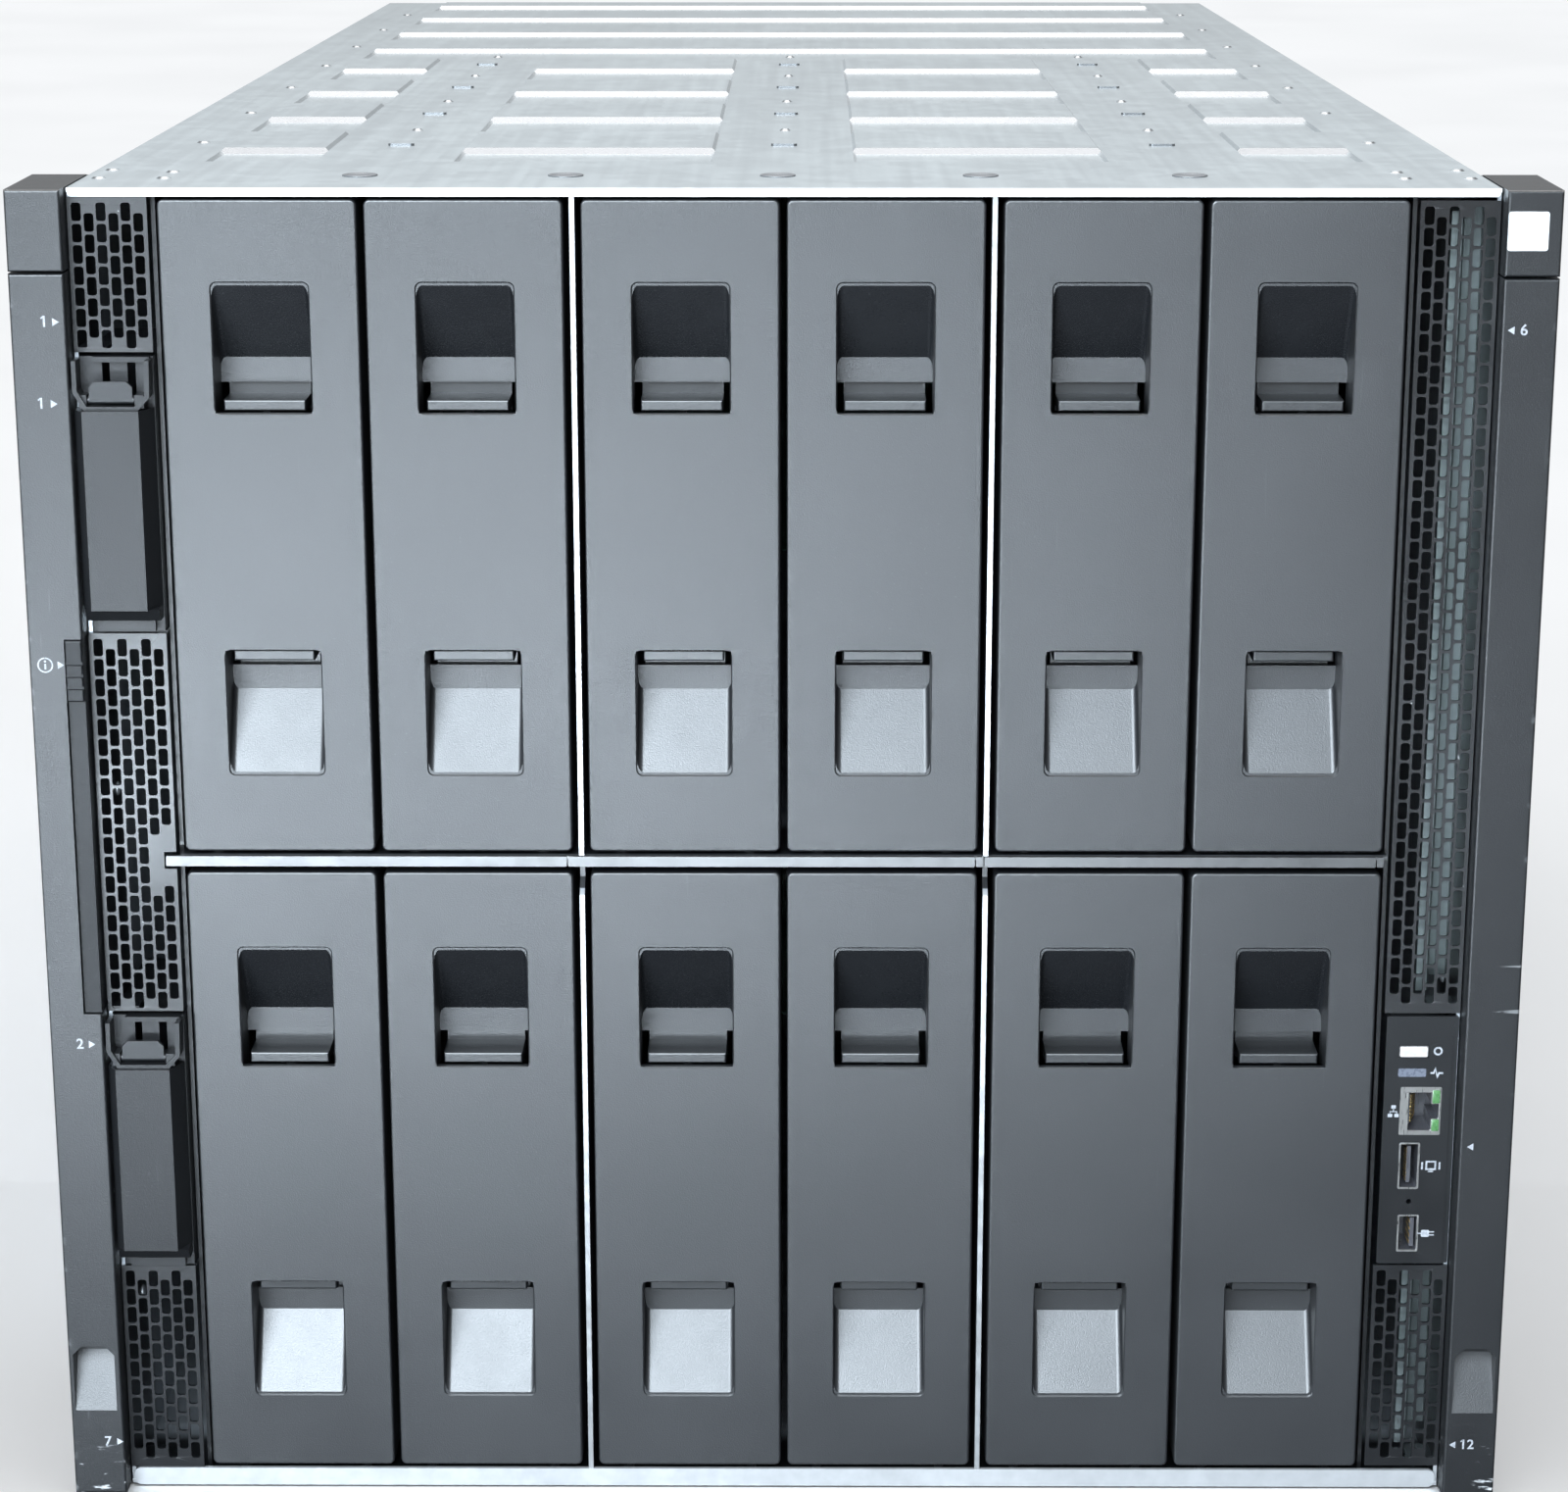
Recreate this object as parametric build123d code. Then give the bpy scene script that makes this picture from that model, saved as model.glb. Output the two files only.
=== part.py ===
from build123d import *
import os

os.makedirs("parts", exist_ok=True)

# Overall size in millimetres: a ten-unit chassis for a nineteen-inch rack
CASE_W = 447.0
CASE_H = 442.0
CASE_D = 908.0
EAR_SPAN = 482.6
SHEET = 1.2

# The origin lies under the middle of the whole depth, from grip to rear handles
FRONT_MOST = -8.6
REAR_MOST = CASE_D + 12.2
MIDDLE_Y = (FRONT_MOST + REAR_MOST) / 2

# Fits and clearances
RUN_GAP = 0.3

# Side walls, partitions and dividers
HALF_W = CASE_W / 2
WALL_IN = HALF_W - SHEET
PART_IN = 197.1
PART_OUT = PART_IN + 1.3
PART_FRONT = 7.0
DIVIDER_X = 66.0
DIVIDER_T = 1.6
BAY_DEPTH = 480.0
LIP_H = 6.3
COVER_Z0 = CASE_H - SHEET

# Bay blanks
BLANK_W = 62.2
BLANK_H = 212.0
BLANK_D = 60.0
BLANK_FACE_Y = 0.6
BLANK_WALL = 2.0
PANEL_T = 2.4
COLUMNS = (-164.4, -100.0, -32.2, 32.2, 100.0, 164.4)
ROW_Z = (332.4, 113.3)
RAIL_X = 21.0
RAIL_W = 2.8
GROOVE_D = 1.6

# Finger pockets of a blank, measured from the blank's centre
POCKET_W = 30.6
POCKET_IN = 38.6
POCKET_OUT = 80.0
POCKET_DEEP = 13.8
FLOOR_IN = 46.5
FLOOR_OUT = 54.5
CUP_T = 1.8

# Release tabs
TAB_W = 26.0
TAB_T = 3.6
TAB_IN = 38.9
TAB_TRAVEL = 4.0

# Shelf between the two rows of bays
SHELF_TOP = 225.1
SHELF_LIP = 3.4
SHELF_STRIPS = ((-201.8, -70.8), (-68.6, 62.4), (65.6, 193.2))

# Side strips with grilles
GRILLE_IN = 198.5
GRILLE_OUT = 223.4
GRILLE_Y = 0.2
SLOT_W = 3.05
SLOT_H = 5.8
SLOT_PITCH_X = 3.87
SLOT_PITCH_Z = 6.65
LEFT_GRILLES = ((6.6, 80.6), (171.4, 299.6), (390.6, 439.3))
RIGHT_GRILLES = ((7.9, 81.6), (171.3, 438.3))
APPLIANCE_Z = (300.6, 81.2)

# Rack ears
EAR_IN = 223.9
EAR_OUT = EAR_SPAN / 2
EAR_FRONT = -8.0
EAR_BACK = 37.0
EAR_TOP = 442.3
EAR_WALL = 2.0
CAP_Z = {-1: 416.9, 1: 415.6}
FLANGE_T = 2.5
BOLT_X = 465.1 / 2
BOLT_Z = (22.25, 422.3)
BOLT_SLOT = 10.0
BOLT_WIDE = 6.8
INFO_X = (-229.9, -224.1)
INFO_Z = (173.0, 299.5)

# Front panel with its ports
PANEL_X = (199.4, 223.2)
PANEL_Z = (82.4, 170.2)

# Top cover pressings
PRESS_H = 1.0
SEGMENTS = ((-192.5, -156.0), (-110.0, -24.0), (23.0, 107.5), (154.0, 192.0))
FULL_WIDTH = ((-192.0, 191.0),)
SEGMENT_ROWS = (113.0, 225.0, 335.0, 447.0)
FULL_ROWS = (560.0, 665.0, 770.0, 868.0)

# Rear modules
FAN_W = 82.0
FAN_H = 80.0
FAN_PITCH = 86.0
FAN_ROWS = (92.0, 348.0)
SUPPLY_W = 69.0
SUPPLY_H = 40.0
SUPPLY_PITCH = 72.5
LINK_W = 430.0
LINK_H = 25.0
LINK_PITCH = 27.5


def block(x0, x1, y0, y1, z0, z1):
    """A box between two corners."""
    low = (Align.MIN, Align.MIN, Align.MIN)
    return Pos(x0, y0, z0) * Box(x1 - x0, y1 - y0, z1 - z0, align=low)


def side_prism(points, x0, x1):
    """A prism along X from (y, z) points."""
    face = Plane.YZ * make_face(Polyline(*points, close=True))
    return Pos(x0, 0, 0) * extrude(face, amount=x1 - x0, dir=(1, 0, 0))


def front_prism(points, y0, y1):
    """A prism along Y from (x, z) points."""
    face = Plane.XZ * make_face(Polyline(*points, close=True))
    return Pos(0, y0, 0) * extrude(face, amount=y1 - y0, dir=(0, 1, 0))


def top_prism(points, z0, z1):
    """A prism along Z from (x, y) points."""
    face = make_face(Polyline(*points, close=True))
    return Pos(0, 0, z0) * extrude(face, amount=z1 - z0, dir=(0, 0, 1))


def front_pad(cx, cz, w, h, r, y0, y1):
    """A plate along Y with rounded corners, seen from the front."""
    face = Plane.XZ * Pos(cx, cz) * RectangleRounded(w, h, r)
    return Pos(0, y0, 0) * extrude(face, amount=y1 - y0, dir=(0, 1, 0))


def front_taper(cx, cz, w, h, r, y0, y1, shrink):
    """A rounded opening that narrows from y0 to y1."""
    first = Pos(0, y0, 0) * (Plane.XZ * Pos(cx, cz) * RectangleRounded(w, h, r))
    size = (w - 2 * shrink, h - 2 * shrink, max(r - shrink, 0.3))
    last = Pos(0, y1, 0) * (Plane.XZ * Pos(cx, cz) * RectangleRounded(*size))
    return loft([first, last], ruled=True)


def rod_y(x, z, r, y0, y1):
    """A round bar along Y."""
    return Pos(x, (y0 + y1) / 2, z) * Rot(90, 0, 0) * Cylinder(r, y1 - y0)


def rod_x(y, z, r, x0, x1):
    """A round bar along X."""
    return Pos((x0 + x1) / 2, y, z) * Rot(0, 90, 0) * Cylinder(r, x1 - x0)


def flipped(shape):
    """The same shape turned upside down about the blank's centre."""
    return mirror(shape, about=Plane.XY)


# Bay blank: a moulded tray with two finger pockets

def pocket_cup():
    """Walls behind the upper finger pocket, with guides for the release tab."""
    reach = POCKET_DEEP + CUP_T
    ramp = [(1.2, 36.0), (reach, 36.0), (reach, FLOOR_OUT + 0.8), (1.2, POCKET_OUT + 2.4)]
    half = POCKET_W / 2 + CUP_T
    cup = side_prism(ramp, -half, half)
    inner = TAB_W / 2 + RUN_GAP
    lip_y = reach + RUN_GAP + 2.0 + RUN_GAP
    for s in (-1, 1):
        xs = sorted((s * inner, s * half))
        cup += block(xs[0], xs[1], reach - 6, lip_y + 1.8, 47.0, 60.0)
        xs = sorted((s * (inner - 2), s * half))
        cup += block(xs[0], xs[1], lip_y, lip_y + 1.8, 47.0, 60.0)
    return cup


def pocket_void():
    """The open space of the upper finger pocket and of the tab's travel."""
    stop = TAB_IN - TAB_TRAVEL - 0.4
    points = [(-1.0, POCKET_IN), (PANEL_T, POCKET_IN), (PANEL_T, stop), (22.0, stop),
              (22.0, FLOOR_IN), (POCKET_DEEP, FLOOR_IN), (POCKET_DEEP, FLOOR_OUT),
              (-1.0, POCKET_OUT + (POCKET_OUT - FLOOR_OUT) / POCKET_DEEP)]
    void = side_prism(points, -POCKET_W / 2, POCKET_W / 2)
    ramp = [e for e in void.edges() if abs(e.tangent_at(0.5).X) < 0.01
            and e.center().Z > FLOOR_OUT + 2 and 1 < e.center().Y < 13]
    return fillet(ramp, 2.0)


def make_blank():
    outer = extrude(Plane.XZ * RectangleRounded(BLANK_W, BLANK_H, 2.0), amount=BLANK_D, dir=(0, 1, 0))
    outer = fillet(outer.edges().filter_by_position(Axis.Y, -0.01, 0.01), 0.8)
    inside = (BLANK_W - 2 * BLANK_WALL, BLANK_H - 2 * BLANK_WALL, 1.0)
    hollow = front_pad(0, 0, *inside, PANEL_T, BLANK_D + 1)
    body = outer - hollow
    base = -BLANK_H / 2
    for s in (-1, 1):
        x = s * RAIL_X
        body += block(x - 3.8, x + 3.8, PANEL_T, BLANK_D, base + 1.5, base + 4.2)
        wide = RAIL_W / 2 + RUN_GAP
        body -= block(x - wide, x + wide, PANEL_T + 1.2, BLANK_D + 1, base - 1, base + GROOVE_D)
    cup = pocket_cup()
    void = pocket_void()
    middle = (POCKET_IN + POCKET_OUT) / 2
    size = (POCKET_W + 0.9, POCKET_OUT - POCKET_IN + 0.9, 2.3)
    rim = front_taper(0, middle, *size, -0.05, 0.45, 0.5)
    body = body + [cup, flipped(cup)]
    body = body - [void, flipped(void), rim, flipped(rim)]
    return body


def make_tab():
    """Upper release tab: a finger ledge on a plate that runs behind the pocket."""
    plate_y = POCKET_DEEP + CUP_T + RUN_GAP
    ledge = block(-TAB_W / 2, TAB_W / 2, PANEL_T + 0.4, plate_y + 2, TAB_IN, TAB_IN + TAB_T)
    front = ledge.edges().filter_by_position(Axis.Y, PANEL_T + 0.39, PANEL_T + 0.41)
    ledge = fillet(front, 0.6)
    plate = block(-TAB_W / 2, TAB_W / 2, plate_y, plate_y + 2, TAB_IN - 2, 58.0)
    rib = block(-1.2, 1.2, PANEL_T + 3, plate_y + 1, TAB_IN - 1.6, TAB_IN + 0.2)
    return ledge + plate + rib


# Sheet-metal chassis

def make_shell():
    base = block(-HALF_W, HALF_W, 1.2, CASE_D, 0, SHEET)
    lip = front_pad(0, LIP_H / 2, 2 * 222.5, LIP_H, 2.4, -0.2, 1.2)
    shell = base + lip
    for s in (-1, 1):
        xs = sorted((s * WALL_IN, s * HALF_W))
        shell += block(xs[0], xs[1], GRILLE_Y + SHEET, CASE_D, 0, COVER_Z0)
        xs = sorted((s * 211.0, s * HALF_W))
        shell += block(xs[0], xs[1], 2.0, CASE_D, COVER_Z0 - SHEET, COVER_Z0)
        xs = sorted((s * PART_IN, s * PART_OUT))
        shell += block(xs[0], xs[1], PART_FRONT, BAY_DEPTH, SHEET, COVER_Z0)
    for z in APPLIANCE_Z:
        shell += block(-WALL_IN, -PART_OUT, 2.0, 130.0, z - 1.4, z - 0.4)
    rail_top = ROW_Z[1] - BLANK_H / 2 + GROOVE_D - RUN_GAP
    for c in COLUMNS:
        for s in (-1, 1):
            x = c + s * RAIL_X
            shell += block(x - RAIL_W / 2, x + RAIL_W / 2, 5.0, 50.0, SHEET - 0.2, rail_top)
    return shell


def make_dividers():
    """Two upright walls; the front edge steps back under the shelf strip."""
    low = SHELF_TOP - SHELF_LIP - 10.0
    points = [(1.2, SHEET), (BAY_DEPTH, SHEET), (BAY_DEPTH, COVER_Z0 - 1.3), (0.0, COVER_Z0 - 1.3),
              (0.0, SHELF_TOP + 0.2), (5.0, SHELF_TOP + 0.2), (5.0, low + 5.0), (0.0, low),
              (0.0, LIP_H + 0.1), (1.2, LIP_H + 0.1)]
    walls = [side_prism(points, s * DIVIDER_X - DIVIDER_T / 2, s * DIVIDER_X + DIVIDER_T / 2)
             for s in (-1, 1)]
    return Compound(children=walls)


def shelf(x0, x1, strip, columns):
    plate = block(x0, x1, 0.8, BAY_DEPTH - 2, SHELF_TOP - SHEET, SHELF_TOP)
    z = SHELF_TOP - SHELF_LIP / 2
    lip = front_pad((strip[0] + strip[1]) / 2, z, strip[1] - strip[0], SHELF_LIP, 0.4, -0.6, 0.8)
    end = front_pad(strip[1] + 1.5, z, 2.2, SHELF_LIP, 0.4, -0.4, 1.6)
    body = plate + lip + end
    body += block(strip[1] - 0.4, strip[1] + 1.0, 0.2, 1.6, SHELF_TOP - SHEET, SHELF_TOP)
    top = ROW_Z[0] - BLANK_H / 2 + GROOVE_D - RUN_GAP
    for c in columns:
        for s in (-1, 1):
            x = c + s * RAIL_X
            body += block(x - RAIL_W / 2, x + RAIL_W / 2, 5.0, 50.0, SHELF_TOP - 0.2, top)
    return body


def make_shelves():
    edge = DIVIDER_X + DIVIDER_T / 2
    inner = DIVIDER_X - DIVIDER_T / 2
    spans = ((-PART_IN, -edge), (-inner, inner), (edge, PART_IN))
    bodies = []
    for i, span in enumerate(spans):
        bodies.append(shelf(span[0], span[1], SHELF_STRIPS[i], COLUMNS[2 * i:2 * i + 2]))
    return Compound(children=bodies)


def raised_pressing(x0, x1, y0, y1):
    """Pressed-up pad of the cover and the hollow beneath it."""
    at = ((x0 + x1) / 2, (y0 + y1) / 2)
    w = x1 - x0
    d = y1 - y0
    pad = loft([Pos(*at, CASE_H) * Rectangle(w, d),
                Pos(*at, CASE_H + PRESS_H) * Rectangle(w - 2 * PRESS_H, d - 2 * PRESS_H)], ruled=True)
    gap = loft([Pos(*at, COVER_Z0) * Rectangle(w - 1, d - 1),
                Pos(*at, COVER_Z0 + PRESS_H) * Rectangle(w - 3, d - 3)], ruled=True)
    return pad, gap


def sunk_pressing(x0, x1, y0, y1):
    """Pressed-down pad of the cover and the recess above it."""
    at = ((x0 + x1) / 2, (y0 + y1) / 2)
    w = x1 - x0
    d = y1 - y0
    pad = loft([Pos(*at, COVER_Z0) * Rectangle(w + 1, d + 1),
                Pos(*at, COVER_Z0 - PRESS_H) * Rectangle(w - 1, d - 1)], ruled=True)
    gap = loft([Pos(*at, CASE_H) * Rectangle(w, d),
                Pos(*at, CASE_H - PRESS_H) * Rectangle(w - 2, d - 2)], ruled=True)
    return pad, gap


def make_cover():
    plate = block(-HALF_W, HALF_W, 0.4, CASE_D, COVER_Z0, CASE_H)
    lip = front_pad(0, CASE_H - 1.25, 2 * HALF_W - 1.2, 2.5, 1.1, -0.6, 0.8)
    adds = [lip]
    cuts = []
    rows = [(y, SEGMENTS) for y in SEGMENT_ROWS] + [(y, FULL_WIDTH) for y in FULL_ROWS]
    for i, (y, spans) in enumerate(rows):
        back = min(y + 58.0, CASE_D - 8.0)
        front = rows[i - 1][0] + 58.0 if i else 79.0
        for x0, x1 in spans:
            pad, gap = raised_pressing(x0, x1, y, back)
            adds.append(pad)
            cuts.append(gap)
            pad, gap = sunk_pressing(x0, x1, front, y)
            adds.append(pad)
            cuts.append(gap)
    for x in (-136.0, -70.0, -2.0, 63.0, 130.0):
        cuts.append(Pos(x, 36.0, CASE_H) * extrude(SlotOverall(11.0, 3.6), amount=4, both=True))
    cover = plate + adds
    cover = cover - cuts
    marks = []
    for x in (-133.0, -0.6, 130.0):
        for y in (131.0, 247.0, 363.0, 479.0):
            marks.append(Pos(x, y, CASE_H - 0.1) * extrude(SlotOverall(9.0, 2.6), amount=0.9))
        for y in (185.0, 300.0, 420.0):
            marks.append(Pos(x, y, CASE_H + 0.3) * Cone(2.4, 1.2, 0.9))
        marks.append(Pos(x, 536.0, CASE_H - PRESS_H + 0.3) * Cone(2.4, 1.2, 0.9))
    for s in (-1, 1):
        for y in (28.0, 52.0):
            marks.append(Pos(s * 218.4, y, CASE_H + 0.25) * Cone(2.6, 1.6, 0.7))
        for y in (28.0, 46.0):
            marks.append(Pos(s * 197.6, y, CASE_H + 0.25) * Cone(2.6, 1.6, 0.7))
        for y in range(141, 900, 111):
            marks.append(Pos(s * 203.0, y, CASE_H + 0.25) * Cone(2.6, 1.6, 0.7))
    return cover + marks


# Side strips

def slotted_plate(x0, x1, z0, z1, skip):
    """Sheet with staggered rounded slots."""
    outer = Plane.XZ * Pos((x0 + x1) / 2, (z0 + z1) / 2) * Rectangle(x1 - x0, z1 - z0)
    holes = []
    first = (x0 + x1) / 2 - 2.5 * SLOT_PITCH_X
    for c in range(6):
        x = first + c * SLOT_PITCH_X
        z = z1 - 1.8 - SLOT_H / 2 - (c % 2) * SLOT_PITCH_Z / 2
        while z - SLOT_H / 2 > z0 + 0.8:
            if not skip(c, z):
                slot = Plane.XZ * Pos(x, z) * RectangleRounded(SLOT_W, SLOT_H, 0.95)
                holes.append(slot.face().outer_wire())
            z -= SLOT_PITCH_Z
    sheet = Face(outer.face().outer_wire(), holes)
    return Pos(0, GRILLE_Y, 0) * extrude(sheet, amount=SHEET, dir=(0, 1, 0))


def wall_tabs(s, z0, z1):
    """Tabs folded back at both ends of a grille, clear of its slots, held to the side wall."""
    xs = sorted((s * (WALL_IN - 9.0), s * WALL_IN))
    tabs = block(xs[0], xs[1], GRILLE_Y + 0.6, 14.0, z0 + 0.3, z0 + 1.4)
    return tabs + block(xs[0], xs[1], GRILLE_Y + 0.6, 14.0, z1 - 1.95, z1 - 0.85)


def make_left_grilles():
    shelf_mid = SHELF_TOP - SHELF_LIP / 2
    solids = []
    for z0, z1 in LEFT_GRILLES:
        plate = slotted_plate(-GRILLE_OUT, -GRILLE_IN, z0, z1,
                              lambda c, z: c > 3 and abs(z - shelf_mid) < 9.0)
        plate += wall_tabs(-1, z0, z1)
        plate -= block(-202.5, -198.0, -1, 3, shelf_mid - 2.9, shelf_mid + 2.9)
        solids.append(plate)
    return Compound(children=solids)


def make_right_grilles():
    solids = []
    for z0, z1 in RIGHT_GRILLES:
        plate = slotted_plate(GRILLE_IN, GRILLE_OUT, z0, z1, lambda c, z: False)
        plate += wall_tabs(1, z0, z1)
        solids.append(plate)
    return Compound(children=solids)


def latch_cup(z):
    """Collar around the latch: upright sides with slanted lower corners."""
    outer = [(-223.3, z + 88.2), (-223.3, z + 78.2), (-219.8, z + 72.2), (-203.2, z + 72.2),
             (-199.2, z + 76.6), (-198.9, z + 88.2)]
    inner = [(-221.9, z + 89), (-221.9, z + 78.6), (-219.0, z + 73.7), (-204.0, z + 73.7),
             (-200.7, z + 77.2), (-200.4, z + 89)]
    return front_prism(outer, -6.6, 1.2) - front_prism(inner, -9.0, 1.3)


def make_appliance_blank(z):
    tray = block(-222.0, -198.8, 1.0, 60.0, z - 0.1, z + 88.6)
    tray -= block(-220.5, -200.3, 2.6, 61.0, z + 1.4, z + 87.1)
    section = [(-223.3, 1.0), (-223.3, -4.6), (-220.5, -8.0), (-202.6, -8.0), (-199.0, 0.0), (-199.0, 1.0)]
    cover = top_prism(section, z + 8.2, z + 72.4)
    foot = side_prism([(1.0, z + 4.2), (-4.0, z + 4.2), (-7.2, z + 8.4), (1.0, z + 8.4)], -222.6, -199.2)
    clip = block(-219.6, -201.4, -1.6, 1.2, z + 0.2, z + 3.8)
    bar = block(-217.6, -199.6, -2.0, 1.2, z + 87.2, z + 88.8)
    body = tray + cover + foot + clip + latch_cup(z) + bar
    body -= block(-215.0, -212.6, -1.0, 4.0, z + 76.0, z + 86.6)
    body -= block(-207.0, -204.4, -1.0, 4.0, z + 76.0, z + 86.6)
    body += block(-221.6, -219.2, -5.4, 1.1, z + 73.0, z + 77.2)
    body += block(-204.0, -201.2, -5.4, 1.1, z + 73.0, z + 77.2)
    body -= rod_x(-3.6, z + 75.4, 1.0, -220.6, -202.6)
    body -= block(-219.2, -204.0, -6.2, -1.0, z + 73.7, z + 77.4)
    return body


def make_appliance_latch(z):
    """Finger tab on a barrel with a pin at each end."""
    barrel = rod_x(-3.6, z + 75.4, 1.3, -218.8, -204.4)
    pin = rod_x(-3.6, z + 75.4, 0.7, -220.3, -202.9)
    plate = front_prism([(-218.4, z + 75.4), (-218.4, z + 79.6), (-216.6, z + 81.4),
                         (-206.6, z + 81.4), (-204.8, z + 79.6), (-204.8, z + 75.4)], -4.9, -3.5)
    return barrel + pin + plate


# Rack ears

def ear_shell(s, z0, z1):
    """Hollow cover open at the back."""
    xs = sorted((s * EAR_IN, s * EAR_OUT))
    body = block(xs[0], xs[1], EAR_FRONT, EAR_BACK - RUN_GAP, z0, z1)
    body = fillet(body.edges().filter_by_position(Axis.Y, EAR_FRONT - 0.01, EAR_FRONT + 0.01), 0.8)
    inner = (xs[0] + EAR_WALL, xs[1] - EAR_WALL)
    return body - block(*inner, EAR_FRONT + 2.4, EAR_BACK + 1, z0 + EAR_WALL, z1 - EAR_WALL)


def ear_pocket(s):
    """Finger recess near the foot of an ear, deepest at its top."""
    xs = sorted((s * 225.8, s * 239.8))
    outline = front_prism([(xs[0], 31.2), (xs[1], 31.2), (xs[1], 51.6), (xs[1] - 3.2, 54.8),
                           (xs[0] + 3.2, 54.8), (xs[0], 51.6)], EAR_FRONT - 1, 4)
    ramp = side_prism([(EAR_FRONT - 1, 30.0), (EAR_FRONT + 0.2, 31.2), (EAR_FRONT + 8.6, 50.0),
                       (EAR_FRONT + 8.6, 56.0), (EAR_FRONT - 1, 56.0)], xs[0], xs[1])
    return outline & ramp


def make_bezel(s):
    body = ear_shell(s, 0.6, CAP_Z[s] - 0.6)
    xs = sorted((s * (EAR_IN + 1), s * (EAR_OUT - 1)))
    body += block(xs[0], xs[1], EAR_FRONT + 1, EAR_FRONT + 10.4, 28.6, 57.0)
    body -= ear_pocket(s)
    for z in (122.0, 348.0):
        for side in (-1, 1):
            zs = sorted((z + side * (2.0 + RUN_GAP), z + side * 4.2))
            body += block(xs[0], xs[1], EAR_FRONT + 1, 24.0, zs[0], zs[1])
    if s < 0:
        body -= block(INFO_X[0], -223.0, EAR_FRONT - 1, EAR_BACK + 1, *INFO_Z)
        body += block(INFO_X[0] - 1.6, INFO_X[0], EAR_FRONT + 1, 12.0, INFO_Z[0] - 2, INFO_Z[1] + 2)
    return body


def make_ear_caps():
    caps = []
    for s in (-1, 1):
        xs = sorted((s * EAR_IN, s * EAR_OUT))
        cap = ear_shell(s, CAP_Z[s], EAR_TOP)
        cap += block(xs[0], xs[1], EAR_BACK - 4, EAR_BACK, EAR_TOP - 3.4, EAR_TOP - 0.4)
        caps.append(cap)
    return Compound(children=caps)


def make_flanges():
    """Steel rack flanges with guide tongues for the ear covers."""
    sides = []
    for s in (-1, 1):
        xs = sorted((s * HALF_W, s * EAR_OUT))
        body = block(xs[0], xs[1], EAR_BACK, EAR_BACK + FLANGE_T, 0.6, EAR_TOP - 0.4)
        leg = sorted((s * HALF_W, s * (HALF_W + 1.4)))
        for z0, z1 in ((8.0, 165.0), (306.0, 434.0)):
            body += block(leg[0], leg[1], EAR_BACK + 0.5, 112.0, z0, z1)
        for z in (122.0, 348.0):
            tongue = sorted((s * 228.6, s * 236.6))
            body += block(tongue[0], tongue[1], 6.0, EAR_BACK + 0.5, z - 2, z + 2)
        for z in BOLT_Z:
            slot = Plane.XZ * Pos(s * BOLT_X, z) * SlotOverall(BOLT_SLOT, BOLT_WIDE)
            body -= Pos(0, EAR_BACK - 2, 0) * extrude(slot, amount=10, dir=(0, 1, 0))
        if s < 0:
            body -= block(-225.5, -223.0, EAR_BACK - 1, EAR_BACK + 4, INFO_Z[0] - 0.5, INFO_Z[1] + 0.5)
        sides.append(body)
    return Compound(children=sides)


def make_info_tab():
    """Pull-out information plate with a narrow handle in the left ear."""
    x0 = INFO_X[0] + RUN_GAP
    x1 = INFO_X[1] - 0.1
    z0 = INFO_Z[0] + RUN_GAP
    z1 = INFO_Z[1] - RUN_GAP
    handle = block(x0, x1, EAR_FRONT + 1.4, 4.0, z0, z1)
    grip = block(x0, x1, EAR_FRONT - 0.6, EAR_FRONT + 2, 279.0, z1)
    grip = fillet(grip.edges().filter_by_position(Axis.Y, EAR_FRONT - 0.61, EAR_FRONT - 0.59), 0.6)
    plate = block(-225.1, -224.0, 3.0, 104.0, z0 + 1, z1 - 1)
    body = handle + grip + plate
    for z in (283.0, 287.0, 291.0):
        body -= block(x0 - 1, x1 + 1, EAR_FRONT - 1, EAR_FRONT + 0.1, z, z + 1.2)
    return body


# Front panel

def make_panel_plate():
    middle = ((PANEL_X[0] + PANEL_X[1]) / 2, (PANEL_Z[0] + PANEL_Z[1]) / 2)
    plate = front_pad(*middle, PANEL_X[1] - PANEL_X[0], PANEL_Z[1] - PANEL_Z[0], 0.8, 0.0, 1.4)
    plate += block(WALL_IN - SHEET, WALL_IN, 0.6, 14.0, PANEL_Z[0] + 2, PANEL_Z[1] - 2)
    plate -= block(221.4, 224.0, -1.0, 0.5, PANEL_Z[0] - 1, 163.0)
    cuts = [front_pad(208.75, 157.85, 9.9, 4.3, 0.6, -1, 3)]
    cuts.append(front_pad(208.4, 150.55, 9.2, 2.9, 0.5, -1, 3))
    cuts.append(front_pad(211.7, 136.95, 13.7, 17.0, 0.5, -1, 3))
    cuts.append(front_pad(208.75, 117.45, 7.0, 16.6, 0.7, -1, 3))
    cuts.append(front_pad(209.4, 93.3, 7.1, 13.3, 0.5, -1, 3))
    cuts.append(rod_y(209.3, 104.7, 0.9, -1, 3))
    board = block(203.0, 220.0, 16.0, 17.6, 84.0, 168.0)
    arm = block(219.0, WALL_IN, 12.0, 17.6, 90.0, 160.0)
    return plate - cuts + board + arm


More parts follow.
